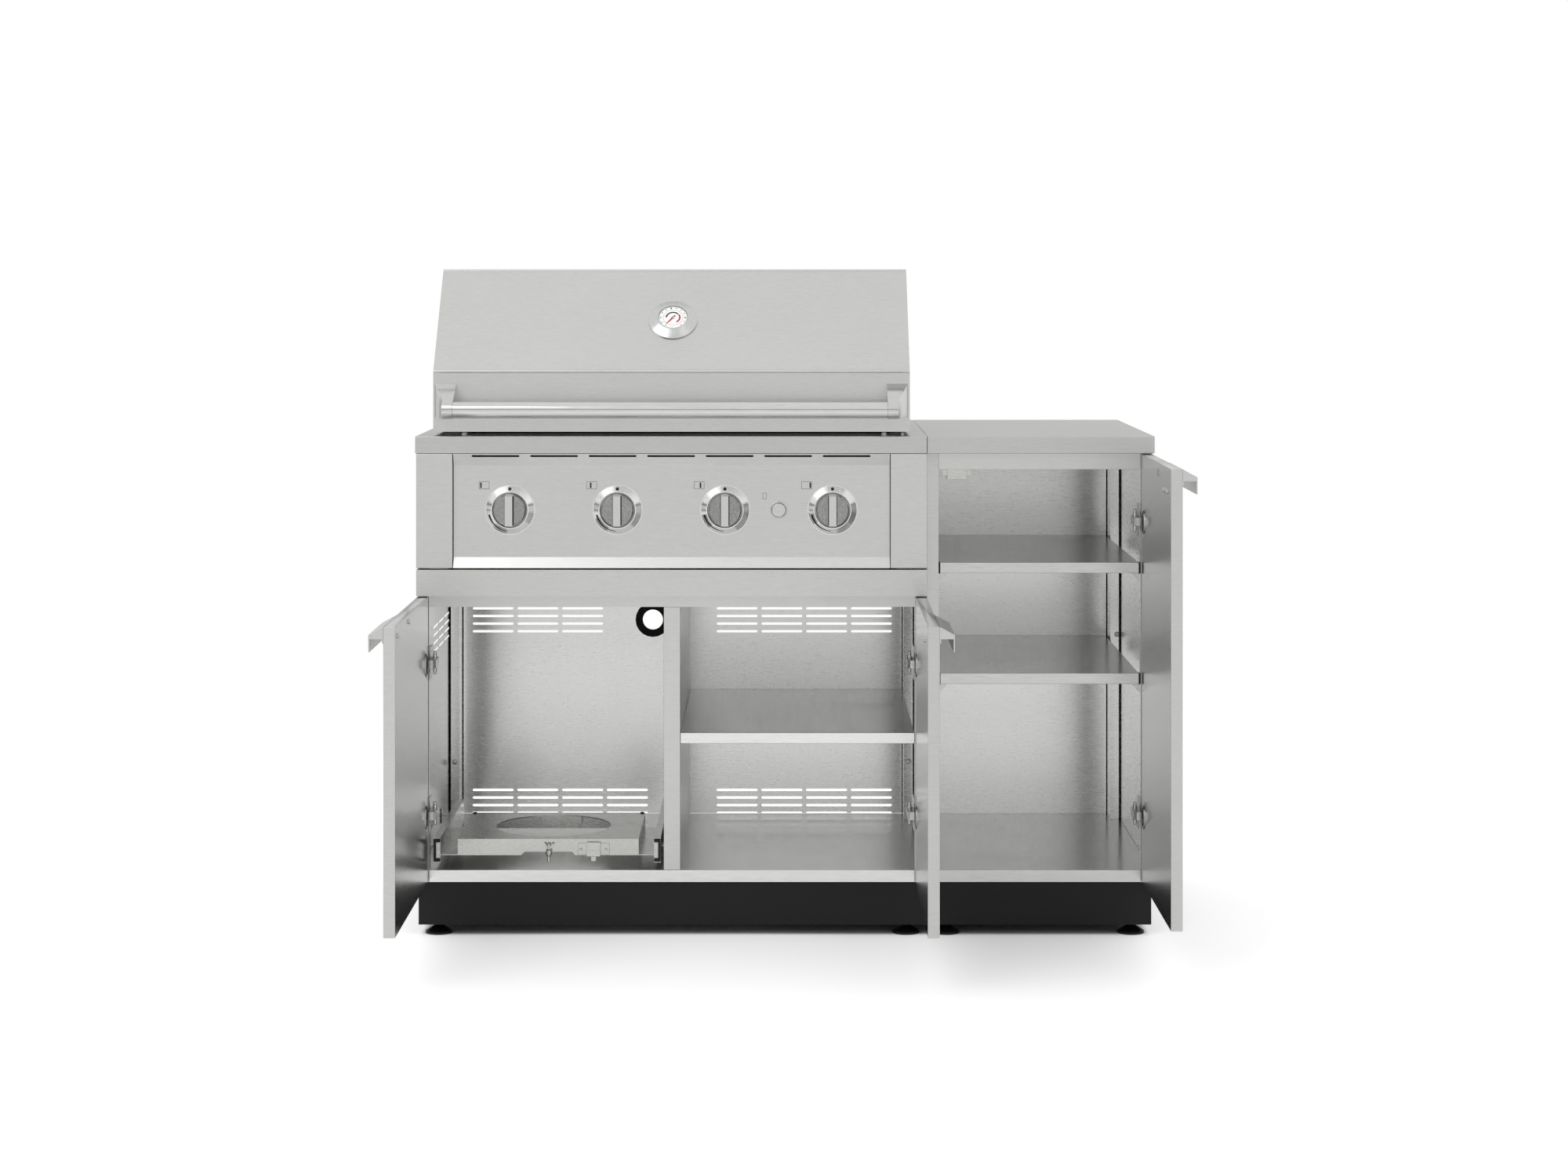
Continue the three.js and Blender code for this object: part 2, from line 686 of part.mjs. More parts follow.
// Cheeks at both sides of the control panel.
for (const side of ['left', 'right']) {
  const place = mirrored(grillCabinetWidth, side);
  const plan = [
    [0, -fit], [0, -frontOverhang], [cheekWidth, -frontOverhang], [cheekWidth, -fit],
    [cheekWidth - cheekReturn, -fit], [cheekWidth - cheekReturn, -fit - sheet],
    [cheekWidth - sheet, -fit - sheet], [cheekWidth - sheet, -frontOverhang + sheet],
    [sheet, -frontOverhang + sheet], [sheet, -fit],
  ];
  part(`grill_cheek_${side}`, upright(plan.map(([x, y]) => [place(x), y]), [panelBottom, cabinetTop]),
    'brushed', grill);
}

// Control panel: recessed face, sloped bands above and below, bezels and igniter collar.
const panelTop = cabinetTop;
const panelBack = -frontOverhang + panelRecess + panelReturn;
function panelOutline() {
  const face = [
    [-frontOverhang, panelTop], [panelFace, panelTop - panelBand], [panelFace, panelBottom + panelBevel],
    [-frontOverhang, panelBottom],
  ];
  const behind = face.map(([y, z], i) => [
    y + heavySheet, z + (i === 0 ? -heavySheet : 0) + (i === 3 ? heavySheet : 0),
  ]);
  return [
    ...face, [panelBack, panelBottom], [panelBack, panelBottom + heavySheet],
    ...behind.reverse(), [panelBack, panelTop - heavySheet], [panelBack, panelTop],
  ];
}

const bezelBase = panelFace + heavySheet / 2;
const bezelProfile = [
  [bezelBore, 0], [bezelRadius, 0], [bezelRadius, heavySheet], [bezelTopRadius, bezelDepth],
  [bezelBore, bezelDepth], [bezelBore, 0],
];
const collarProfile = [
  [buttonRadius + runningFit, 0], [collarRadius, 0], [collarRadius, heavySheet / 2 + collarDepth],
  [buttonRadius + runningFit, heavySheet / 2 + collarDepth], [buttonRadius + runningFit, 0],
];
const vents = Array.from({ length: ventCount }, (_, i) => facing(
  slotOutline(grillCentre + (i - (ventCount - 1) / 2) * ventPitch, panelTop - ventFromTop,
    ventLength, ventHeight),
  [-frontOverhang - overrun, panelFace + heavySheet]));
const stemHoles = knobXs.map((x) => turned(rod(valveStemRadius + runningFit, 2 * overrun), smallSegments,
  towardsFront(x, panelFace + overrun, knobHeight)));
const buttonHole = turned(rod(buttonRadius + runningFit, 2 * overrun), plainSegments,
  towardsFront(igniterX, panelFace + overrun, knobHeight));
const bezels = knobXs.map((x) => turned(bezelProfile, fineSegments, towardsFront(x, bezelBase, knobHeight)));
const collar = turned(collarProfile, plainSegments, towardsFront(igniterX, bezelBase, knobHeight));
const panelSheet = cut(across(panelOutline(), [panelLeft, panelRight]),
  [...vents, ...stemHoles, buttonHole]);
part('control_panel', panelSheet.add(joined([...bezels, collar])), 'brushed', grill);

// Burner knobs: skirt, and a grip bar across the face; a blind bore takes the valve stem.
const knobBack = panelFace - knobSetBack;
function knob() {
  const skirt = turned([
    [0, 0], [knobRadius, 0], [knobRadius, knobSkirt - knobRim], [knobRadius - knobRim, knobSkirt],
    [0, knobSkirt],
  ], fineSegments, towardsFront(0, 0, 0));
  const gripHalf = Math.sqrt((knobRadius - knobRim) ** 2 - (gripWidth / 2) ** 2);
  const grip = block([-gripWidth / 2, gripWidth / 2], [-knobSkirt - gripDepth, -knobSkirt / 2],
    [-gripHalf, gripHalf]);
  const bore = turned(rod(knobBore, knobBoreDepth + overrun), smallSegments, towardsFront(0, overrun, 0));
  return skirt.add(grip).subtract(bore);
}

knobXs.forEach((x, i) => {
  part(`knob_${i + 1}`, knob(), 'polished', grill).position.set(x, knobBack, knobHeight);
});

const buttonFront = panelFace - heavySheet / 2 - collarDepth - buttonProud;
part('igniter_button', turned(rod(buttonRadius, buttonLength), plainSegments, towardsFront(0, 0, 0)),
  'polished', grill).position.set(igniterX, buttonFront + buttonLength, knobHeight);

// Gas manifold: a pipe with a valve, a stem and a nozzle at each knob.
const pipeStart = knobXs[0] - bezelRadius;
const pipeEnd = knobXs[knobCount - 1] + bezelRadius;
const manifoldPieces = [
  turned(rod(pipeRadius, pipeEnd - pipeStart), smallSegments, alongX(pipeStart, pipeSetBack, knobHeight)),
];
for (const x of knobXs) {
  manifoldPieces.push(
    block([x - valveWidth / 2, x + valveWidth / 2], [-valveFront, valveBack],
      [knobHeight - valveHeight / 2, knobHeight + valveHeight / 2]),
    turned(rod(valveStemRadius, -valveFront - knobBack + stemInKnob + overrun), smallSegments,
      towardsFront(x, -valveFront + overrun, knobHeight)),
    turned(rod(nozzleRadius, nozzleLength + overrun), smallSegments,
      towardsFront(x, valveBack + nozzleLength, knobHeight)));
}
part('gas_manifold', joined(manifoldPieces), 'zinc', grill);

// Tube burners, open at the nozzle, closed at the rear, on one support bar.
const burnerPieces = knobXs.map((x) => turned([
  [0, 0], [burnerRadius, 0], [burnerRadius, burnerBack - burnerFront],
  [burnerRadius - burnerWall, burnerBack - burnerFront], [burnerRadius - burnerWall, burnerWall],
  [0, burnerWall],
], smallSegments, towardsFront(x, burnerBack, knobHeight)));
const fireboxLeft = grillCentre - fireboxWidth / 2;
const fireboxRight = grillCentre + fireboxWidth / 2;
burnerPieces.push(block([fireboxLeft + heavySheet + fit, fireboxRight - heavySheet - fit],
  [burnerBack - burnerWall, burnerBack + rearBarThickness],
  [knobHeight - rearBarHeight / 2, knobHeight + rearBarHeight / 2]));
part('burner_set', joined(burnerPieces), 'aluminised', grill);

// Firebox: walls, rim on the worktop, grate ledges, hood ears with pins, grease tray runners.
const rimBottom = worktopHeight + fit;
const rimTop = rimBottom + heavySheet;
const pivotZ = worktopHeight + hoodPivotHeight;
const fireboxWalls = block([fireboxLeft, fireboxRight], [fireboxFront, fireboxBack], [fireboxBottom, rimTop])
  .subtract(block([fireboxLeft + heavySheet, fireboxRight - heavySheet],
    [fireboxFront + heavySheet, fireboxBack - heavySheet], [fireboxBottom + heavySheet, rimTop + overrun]));
const rim = block([fireboxLeft - rimOverlap, fireboxRight + rimOverlap],
  [fireboxFront - rimOverlap, fireboxBack + rimOverlap], [rimBottom, rimTop])
  .subtract(block([fireboxLeft + heavySheet, fireboxRight - heavySheet],
    [fireboxFront + heavySheet, fireboxBack - heavySheet], [rimBottom - overrun, rimTop + overrun]));
const ledges = [
  [fireboxFront, fireboxFront + ledgeWidth], [fireboxBack - ledgeWidth, fireboxBack],
].map((y) => block([fireboxLeft, fireboxRight], y, [ledgeHeight - heavySheet, ledgeHeight]));
const hoodInnerHalf = hoodWidth / 2 - heavySheet;
const earHalf = hoodInnerHalf - runningFit - earThickness;
const ears = [-1, 1].flatMap((side) => {
  const [x0, x1] = span(grillCentre + side * (earHalf), grillCentre + side * (earHalf + earThickness));
  const [f0, f1] = span(grillCentre + side * (fireboxWidth / 2),
    grillCentre + side * (earHalf + earThickness));
  const plate = across([
    [hoodPivotBack - earWidth / 2, rimBottom], [hoodPivotBack + earWidth / 2, rimBottom],
    [hoodPivotBack + earWidth / 2, pivotZ], [hoodPivotBack, pivotZ + earWidth / 2],
    [hoodPivotBack - earWidth / 2, pivotZ],
  ], [x0, x1]);
  const foot = block([f0, f1], [hoodPivotBack - earWidth / 2, hoodPivotBack + earWidth / 2],
    [rimBottom, rimTop]);
  const pinStart = side > 0 ? x0 : x1 - (earThickness + pinLength);
  const pin = turned(rod(pinRadius, earThickness + pinLength), smallSegments,
    alongX(pinStart, hoodPivotBack, pivotZ));
  return [plate, foot, pin];
});
const runners = [-1, 1].map((side) => {
  const outer = grillCentre + side * (greaseTrayHalf + fit + sheet);
  const wall = grillCentre + side * (greaseTrayHalf + fit);
  const lip = grillCentre + side * (greaseTrayHalf - runnerLip);
  const low = fireboxBottom - runnerDrop;
  return joined([
    block(span(outer, wall), [fireboxFront, fireboxBack], [low, fireboxBottom + heavySheet]),
    block(span(outer, lip), [fireboxFront, fireboxBack], [low, low + sheet]),
  ]);
});
const greaseMouth = block([fireboxLeft + greaseMouthMargin, fireboxRight - greaseMouthMargin],
  [fireboxFront + greaseMouthMargin, fireboxBack - greaseMouthMargin],
  [fireboxBottom - overrun, fireboxBottom + heavySheet + overrun]);
const burnerHoles = knobXs.map((x) => turned(rod(burnerRadius + runningFit, ledgeWidth), smallSegments,
  towardsFront(x, fireboxFront + ledgeWidth / 2, knobHeight)));
const fireboxBody = cut(fireboxWalls, [greaseMouth, ...burnerHoles]);
part('firebox', fireboxBody.add(joined([rim, ...ledges, ...ears, ...runners])), 'aluminised', grill);

// Cooking grates: rods front to back on two cross bars.
['left', 'right'].forEach((side, i) => {
  const inner = fireboxWidth / 2 - heavySheet - grateEdge;
  const sign = i === 0 ? -1 : 1;
  const [x0, x1] = span(grillCentre + sign * inner, grillCentre + (sign * grateGap) / 2);
  const [y0, y1] = [fireboxFront + heavySheet + grateEdge, fireboxBack - heavySheet - grateEdge];
  const bottom = ledgeHeight + fit;
  const rods = Math.floor((x1 - x0 - rodWidth) / rodPitch);
  const pieces = Array.from({ length: rods + 1 }, (_, n) => {
    const x = x0 + (n * (x1 - x0 - rodWidth)) / rods;
    return block([x, x + rodWidth], [y0, y1], [bottom + rodWidth / 2, bottom + rodWidth + rodWidth / 2]);
  });
  for (const y of [y0, y1 - frameBar]) {
    pieces.push(block([x0, x1], [y, y + frameBar], [bottom, bottom + rodWidth]));
  }
  part(`cooking_grate_${side}`, joined(pieces), 'zinc', grill);
});

// Grease tray: slides out at the rear; a finger slot in its end plate.
const trayEnd = cabinetDepth + fit;
const greaseBody = block([grillCentre - greaseTrayHalf, grillCentre + greaseTrayHalf],
  [greaseTrayFront, trayEnd + sheet], [greaseTrayBottom, greaseTrayTop])
  .subtract(block([grillCentre - greaseTrayHalf + sheet, grillCentre + greaseTrayHalf - sheet],
    [greaseTrayFront + sheet, trayEnd], [greaseTrayBottom + sheet, greaseTrayTop + overrun]));
const fingerSlot = facing(slotOutline(grillCentre, (greaseTrayTop + greaseTrayBottom) / 2, fingerSlotLength,
  fingerSlotHeight), [trayEnd - overrun, trayEnd + sheet + overrun]);
part('grease_tray', greaseBody.subtract(fingerSlot), 'aluminised', grill);

// Worktops: folded pans with a flange turned in underneath; the grill's has the firebox cut-out.
function worktop(width, cutOuts) {
  const [y0, y1] = [-frontOverhang, cabinetDepth + rearOverhang];
  const inset = (depth, z) => block([depth, width - depth], [y0 + depth, y1 - depth], z);
  return cut(inset(0, [worktopUnderside, worktopHeight]), [
    inset(heavySheet, [worktopUnderside + heavySheet, worktopHeight - heavySheet]),
    inset(worktopFlange, [worktopUnderside - overrun, worktopHeight - heavySheet]), ...cutOuts,
  ]);
}

const fireboxCutOut = block([fireboxLeft - fit + endOverhang, fireboxRight + fit + endOverhang],
  [fireboxFront - fit, fireboxBack + fit],
  [worktopUnderside + worktopThickness / 2, worktopHeight + overrun]);
part('grill_worktop', worktop(grillWorktopWidth, [fireboxCutOut]), 'worktop', grill)
  .position.x = -endOverhang;
part('storage_worktop', worktop(storageWorktopWidth, []), 'worktop', storage).position.x = -seamOverhang;

// Hood: a folded shell that turns on the firebox ears; it is drawn about its pivot.
const hoodPivot = groupAt(grill, grillCentre, hoodPivotBack, pivotZ);
const hoodOutline = [
  [hoodFront, worktopHeight + hoodLift], [hoodCornerCut, worktopHeight + hoodLift],
  [hoodBack, worktopHeight + hoodRearBottom], [hoodBack, worktopHeight + hoodShoulder],
  [hoodTopBack, worktopHeight + hoodTop], [hoodFront + hoodSlopeRun, worktopHeight + hoodTop],
  [hoodFront, worktopHeight + hoodBend],
].map(([y, z]) => [y - hoodPivotBack, z - pivotZ]);

// The outline moved inwards by a wall, with its lower edge left open past the real one.
function hoodHollow() {
  const wall = heavySheet;
  const [front, cutCorner, rearLow, shoulder, topBack, topFront, bend] = hoodOutline;
  const slopeUp = Math.atan2(topFront[1] - bend[1], topFront[0] - bend[0]);
  const slopeDown = Math.atan2(topBack[1] - shoulder[1], shoulder[0] - topBack[0]);
  const bendShift = wall * Math.tan((Math.PI / 2 - slopeUp) / 2);
  return [
    [front[0] + wall, front[1] - overrun], [cutCorner[0], cutCorner[1] - overrun],
    [rearLow[0] - wall, rearLow[1] - overrun],
    [shoulder[0] - wall, shoulder[1] - wall * Math.tan((Math.PI / 2 - slopeDown) / 2)],
    [topBack[0] - wall * Math.tan(slopeDown / 2), topBack[1] - wall],
    [topFront[0] + wall * Math.tan(slopeUp / 2), topFront[1] - wall], [bend[0] + wall, bend[1] - bendShift],
  ];
}

const hoodHalf = hoodWidth / 2;
const dialShare = (dialHeight - hoodBend) / (hoodTop - hoodBend);
const dialY = hoodFront + dialShare * hoodSlopeRun - hoodPivotBack;
const dialZ = worktopHeight + dialHeight - pivotZ;
const hoodSlope = Math.atan2(hoodTop - hoodBend, hoodSlopeRun);
const onSlope = new THREE.Matrix4().makeTranslation(0, dialY, dialZ)
  .multiply(new THREE.Matrix4().makeRotationX(hoodSlope));
const pinHoles = [-1, 1].map((side) => turned(rod(pinHoleRadius, 2 * overrun), smallSegments,
  alongX(side * hoodHalf - overrun, 0, 0)));
const probeCut = turned(rod(probeHole, 2 * overrun), smallSegments,
  onSlope.clone().multiply(new THREE.Matrix4().makeTranslation(0, 0, -overrun)));
// Corner notches let the rear panel swing past the firebox ears.
const earSwing = Math.hypot(earWidth / 2, pivotZ - rimBottom) + runningFit;
const rearPanel = hoodBack - hoodPivotBack;
const notches = [-1, 1].map((side) => block(
  span(side * (earHalf - runningFit), side * hoodInnerHalf),
  [rearPanel - heavySheet - overrun, rearPanel + overrun], [-overrun, earSwing]));
part('hood', cut(across(hoodOutline, [-hoodHalf, hoodHalf]), [
  across(hoodHollow(), [-hoodInnerHalf, hoodInnerHalf]), ...pinHoles, probeCut, ...notches,
]), 'brushed', hoodPivot);

// Thermometer: raised rim round a sunken dial, its probe through the hood.
part('thermometer', turned([
  [0, -probeLength], [probeRadius, -probeLength], [probeRadius, fit], [dialRadius, fit],
  [dialRadius, dialBase], [dialRimRadius, dialRimDepth], [dialFaceRadius, dialRimDepth],
  [dialFaceRadius, dialFaceDepth], [0, dialFaceDepth],
], fineSegments, onSlope), 'dial', hoodPivot);

// Hood handle: a round tube held by two tapered posts with collars.
const handleY = hoodFront - handleStandOff - hoodPivotBack;
const handleZ = worktopHeight + handleHeight - pivotZ;
const tubeHalf = handleLength / 2;
part('hood_handle_tube', turned([
  [handleRadius - handleWall, 0], [handleRadius, 0], [handleRadius, handleLength],
  [handleRadius - handleWall, handleLength], [handleRadius - handleWall, 0],
], fineSegments, alongX(-tubeHalf, handleY, handleZ)), 'brushed', hoodPivot);

// Post seen from the side: flat below, round at the tube, sloping up to the hood;
// in plan its outer side widens towards the hood.
function handlePost(side) {
  const inner = tubeHalf + fit;
  const outer = hoodHalf - handlePostInset;
  const back = hoodFront - fit - hoodPivotBack;
  const top = worktopHeight + handlePostTop - pivotZ;
  const [reach, rise] = [back - handleY, top - handleZ];
  const tangent = Math.atan2(rise, reach) + Math.acos(capRadius / Math.hypot(rise, reach));
  const arc = Array.from({ length: smallSegments + 1 }, (_, i) => {
    const angle = tangent + (((3 * Math.PI) / 2 - tangent) * i) / smallSegments;
    return [handleY + capRadius * Math.cos(angle), handleZ + capRadius * Math.sin(angle)];
  });
  const wedge = across([[back, top], ...arc, [back, handleZ - capRadius]], span(side * inner, side * outer));
  const front = handleY - capRadius - overrun;
  const plan = [
    [inner, front], [inner + capLength, front], [inner + capLength, handleY], [outer, back], [inner, back],
  ];
  return wedge.intersect(upright(plan.map(([x, y]) => [side * x, y]), [handleZ - capRadius, top]));
}

part('hood_handle_post_left', handlePost(-1), 'brushed', hoodPivot);
part('hood_handle_post_right', handlePost(1), 'brushed', hoodPivot);

// Gas bottle tray: raised platform with a hole for the bottle, wings out to the slide bars.
const bayLeft = stileWidth;
const trayCentre = (bayLeft + dividerLeft) / 2;
const trayBottom = trayTop - trayDrop;
const trayBack = trayFront + trayPlatformDepth;
const platformHalf = (dividerLeft - bayLeft) / 2 - trayWing;
const slideHalf = (dividerLeft - bayLeft) / 2 - slideFromStile;
const platform = block([trayCentre - platformHalf, trayCentre + platformHalf], [trayFront, trayBack],
  [trayBottom, trayTop]).subtract(
  block([trayCentre - platformHalf + traySheet, trayCentre + platformHalf - traySheet],
    [trayFront + traySheet, trayBack - traySheet], [trayBottom - overrun, trayTop - traySheet]));
const bottleHole = turned(rod(bottleHoleRadius, trayDrop), fineSegments,
  new THREE.Matrix4().makeTranslation(trayCentre, (trayFront + trayBack) / 2, trayBottom + overrun));
const notch = facing([
  [trayCentre - notchWidth / 2, trayBottom - overrun], [trayCentre + notchWidth / 2, trayBottom - overrun],
  [trayCentre + notchWidth / 2, trayBottom], [trayCentre + notchTopWidth / 2, trayBottom + notchHeight],
  [trayCentre - notchTopWidth / 2, trayBottom + notchHeight], [trayCentre - notchWidth / 2, trayBottom],
], [trayFront - overrun, trayFront + overrun]);
const barInner = slideHalf - slideDepth;
const barOuter = slideHalf - slideSheet - runningFit;
const trayWings = [-1, 1].flatMap((side) => [
  block(span(trayCentre + side * (platformHalf - traySheet), trayCentre + side * barOuter),
    [trayFront, trayBack], [trayBottom, trayBottom + traySheet]),
  block(span(trayCentre + side * barInner, trayCentre + side * barOuter),
    [slideSetBack, slideSetBack + slideLength],
    [slideBottom + slideSheet + runningFit, slideBottom + slideHeight - slideSheet - runningFit]),
]);
part('tank_tray', cut(platform, [bottleHole, notch]).add(joined(trayWings)), 'zinc', grill);

// Drawer slides: a channel each side, held off the wall by two folded brackets.
for (const side of ['left', 'right']) {
  const place = (x) => (side === 'left' ? trayCentre - x : trayCentre + x);
  const wall = side === 'left' ? trayCentre - sheet : dividerLeft - trayCentre;
  const slideTop = slideBottom + slideHeight;
  const slideEnd = slideSetBack + slideLength;
  const channel = block(span(place(slideHalf - slideDepth), place(slideHalf)), [slideSetBack, slideEnd],
    [slideBottom, slideTop]).subtract(
    block(span(place(slideHalf - slideDepth - overrun), place(slideHalf - slideSheet)),
      [slideSetBack - overrun, slideEnd + overrun], [slideBottom + slideSheet, slideTop - slideSheet]));
  const middle = slideBottom + slideHeight / 2;
  const brackets = bracketShares.flatMap((share) => {
    const y = slideSetBack + share * slideLength;
    const along = [y - slideBracketLength / 2, y + slideBracketLength / 2];
    return [
      block(span(place(slideHalf - slideSheet), place(wall - fit)), along, [middle, middle + slideSheet]),
      block(span(place(wall - fit - slideSheet), place(wall - fit)), along,
        [middle - slideBracketHeight / 2, middle + slideBracketHeight / 2]),
    ];
  });
  part(`tray_slide_${side}`, joined([channel, ...brackets]), 'zinc', grill);
}

// Doors: a hollow folded panel with two flanged hinge cups, drawn closed about its hinge line.
// The side is 1 for a door hinged on its left and -1 for one hinged on its right.
function doorPanel(side, width, height) {
  const ends = [-pivotInset, width - pivotInset];
  const half = doorThickness / 2;
  const shell = block(span(side * ends[0], side * ends[1]), [-half, half], [0, height]);
  const hollow = block(span(side * (ends[0] + doorSkin), side * (ends[1] - doorSkin)),
    [-half + doorSkin, half - doorSkin], [doorSkin, height - doorSkin]);
  const cupX = side * (cupCentre - pivotInset);
  const cupHeights = [hingeFromEnd, height - hingeFromEnd];
  const cups = cupHeights.map((z) => turned(rod(cupRadius + cupWall, cupDepth + cupWall), plainSegments,
    towardsFront(cupX, half, z)));
  const flange = armInset - pivotInset - half - runningFit;
  const flanges = cupHeights.map((z) => turned(rod(cupFlangeRadius, flange + doorSkin / 2), plainSegments,
    towardsFront(cupX, half + flange, z)));
  const pockets = cupHeights.map((z) => turned(rod(cupRadius, cupDepth + overrun), plainSegments,
    towardsFront(cupX, half + overrun, z)));
  const drains = drainShares.map((share) => turned(rod(drainRadius, 2 * overrun), smallSegments,
    new THREE.Matrix4().makeTranslation(side * (ends[0] + share * width), 0, -overrun)));
  return cut(cut(shell, [hollow]).add(joined([...cups, ...flanges])), [...pockets, ...drains]);
}

// Sheet pull: a flange on the door's face, a slope outwards, a lip down, a cheek at each end.
function pull(side, width, height) {
  const end = width - pivotInset - pullInset;
  const face = -doorThickness / 2 - fit;
  const fall = pullDrop / pullReach;
  const thick = pullSheet * Math.hypot(1, fall);
  const lipX = pullReach - pullSheet;
  const place = ([out, down]) => [face - out, height - down];
  const bent = across([
    [0, 0], [pullReach, pullDrop], [pullReach, pullDrop + pullLip], [lipX, pullDrop + pullLip],
    [lipX, lipX * fall + thick], [pullSheet, pullSheet * fall + thick], [pullSheet, pullFlange],
    [0, pullFlange],
  ].map(place), span(side * (end - pullLength), side * end));
  const cheek = [
    [0, 0], [pullReach, pullDrop], [pullReach, pullDrop + pullCheek], [0, pullDrop + pullCheek],
  ];
  const cheeks = [[end - pullLength, end - pullLength + pullCheekSheet], [end - pullCheekSheet, end]].map(
    ([x0, x1]) => across(cheek.map(place), span(side * x0, side * x1)));
  return joined([bent, ...cheeks]);
}

// Hinge arm: a plate on the lip of the stile and an arm that reaches into the door's cup.
function hingeArm(place, z) {
  const plate = [stileWidth + fit, stileWidth + fit + hingePlateThickness];
  const arm = [
    [armInset, hingePlateLength], [armInset, -armNose], [armInset + armWidth - armTaper, -armNose],
    [armInset + armWidth, -armNose + armTaper], [armInset + armWidth, hingePlateLength],
  ];
  return joined([
    block(span(place(plate[0]), place(plate[1])), [fit, hingePlateLength],
      [z - hingePlateHeight / 2, z + hingePlateHeight / 2]),
    upright(arm.map(([x, y]) => [place(x), y]), [z - armHeight / 2, z + armHeight / 2]),
  ]);
}

const grillDoorWidth = (grillCabinetWidth - doorMeeting) / 2;
for (const [name, parent, side, cabinetWidth, width, top] of [
  ['grill_%_left', grill, 'left', grillCabinetWidth, grillDoorWidth, grillDoorTop],
  ['grill_%_right', grill, 'right', grillCabinetWidth, grillDoorWidth, grillDoorTop],
  ['storage_%', storage, 'right', storageCabinetWidth, storageCabinetWidth, storageDoorTop],
]) {
  const sign = side === 'left' ? 1 : -1;
  const height = top - doorBottom;
  const place = mirrored(cabinetWidth, side);
  const hinged = groupAt(parent, place(pivotInset), pivotY, doorBottom);
  hinged.rotation.z = -sign * openAngle;
  part(name.replace('%', 'door'), doorPanel(sign, width, height), 'brushed', hinged);
  part(name.replace('%', 'pull'), pull(sign, width, height), 'brushed', hinged);
  part(name.replace('%', 'hinge') + '_upper', hingeArm(place, top - hingeFromEnd), 'zinc', parent);
  part(name.replace('%', 'hinge') + '_lower', hingeArm(place, doorBottom + hingeFromEnd), 'zinc', parent);
}

// The origin lies on the ground, under the middle of the island with its doors open.
const islandWidth = grillWorktopWidth + worktopSeam + storageWorktopWidth;
const openDoorEnd = pivotY - (grillDoorWidth - pivotInset);
assembled.position.set(-islandWidth / 2, -(openDoorEnd + cabinetDepth + rearOverhang) / 2, 0);

export default island;
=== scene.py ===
import math

import bmesh
import bpy
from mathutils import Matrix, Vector


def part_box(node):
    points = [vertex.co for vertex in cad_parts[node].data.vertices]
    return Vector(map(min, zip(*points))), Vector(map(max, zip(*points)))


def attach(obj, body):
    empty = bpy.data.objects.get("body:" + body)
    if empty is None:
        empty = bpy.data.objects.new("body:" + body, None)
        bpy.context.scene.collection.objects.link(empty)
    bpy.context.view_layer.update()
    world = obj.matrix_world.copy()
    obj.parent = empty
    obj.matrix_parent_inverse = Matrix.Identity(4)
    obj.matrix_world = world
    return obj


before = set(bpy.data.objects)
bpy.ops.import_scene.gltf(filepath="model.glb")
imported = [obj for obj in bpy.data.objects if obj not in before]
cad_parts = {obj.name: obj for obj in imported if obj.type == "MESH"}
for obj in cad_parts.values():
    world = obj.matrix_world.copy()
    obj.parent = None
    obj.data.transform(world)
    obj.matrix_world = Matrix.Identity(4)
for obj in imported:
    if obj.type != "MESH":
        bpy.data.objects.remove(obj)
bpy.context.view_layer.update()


# Grill cabinet. Two side sheets, a slotted back with its posts, a floor pan and a
# divider, folded from stainless sheet and spot welded. The brushing runs level on
# every sheet, and the inside keeps a smoother mill finish. The inside of the back is
# painted near white, painted light, and the floor pan and shelf are painted lighter
# than the storage side's, painted light as well.
def group_socket(tree, way, name, kind, value=None):
    socket = tree.interface.new_socket(name, in_out=way, socket_type="NodeSocket" + kind)
    if value is not None:
        socket.default_value = value


def worked_out(tree, operation, *values):
    node = tree.nodes.new("ShaderNodeMath")
    node.operation = operation
    for socket, value in zip(node.inputs, values):
        if isinstance(value, (int, float)):
            socket.default_value = value
        else:
            tree.links.new(value, socket)
    return node.outputs[0]


def vector_worked_out(tree, operation, *values):
    node = tree.nodes.new("ShaderNodeVectorMath")
    node.operation = operation
    for socket, value in zip(node.inputs, values):
        if isinstance(value, Vector):
            socket.default_value = value
        else:
            tree.links.new(value, socket)
    return node.outputs["Value" if operation in ("DOT_PRODUCT", "LENGTH") else "Vector"]


def object_place(tree):
    return tree.nodes.new("ShaderNodeTexCoord").outputs["Object"]


def object_axes(tree):
    axes = tree.nodes.new("ShaderNodeSeparateXYZ")
    tree.links.new(object_place(tree), axes.inputs[0])
    return axes.outputs


def noise(tree, place, scale, detail=2.0, roughness=0.5):
    node = tree.nodes.new("ShaderNodeTexNoise")
    node.inputs["Scale"].default_value = scale
    node.inputs["Detail"].default_value = detail
    node.inputs["Roughness"].default_value = roughness
    tree.links.new(place, node.inputs["Vector"])
    return node.outputs["Fac"]


def colour_between(tree, amount, first, second):
    node = tree.nodes.new("ShaderNodeMix")
    node.data_type = "RGBA"
    for socket, value in zip((node.inputs["Factor"], node.inputs[6], node.inputs[7]),
                             (amount, first, second)):
        if isinstance(value, (tuple, float, int)):
            socket.default_value = value
        else:
            tree.links.new(value, socket)
    return node.outputs[2]


def spread_out(tree, value, low, high, to_low=0.0, to_high=1.0):
    node = tree.nodes.new("ShaderNodeMapRange")
    for name, number in (("From Min", low), ("From Max", high),
                         ("To Min", to_low), ("To Max", to_high)):
        node.inputs[name].default_value = number
    tree.links.new(value, node.inputs["Value"])
    return node.outputs["Result"]


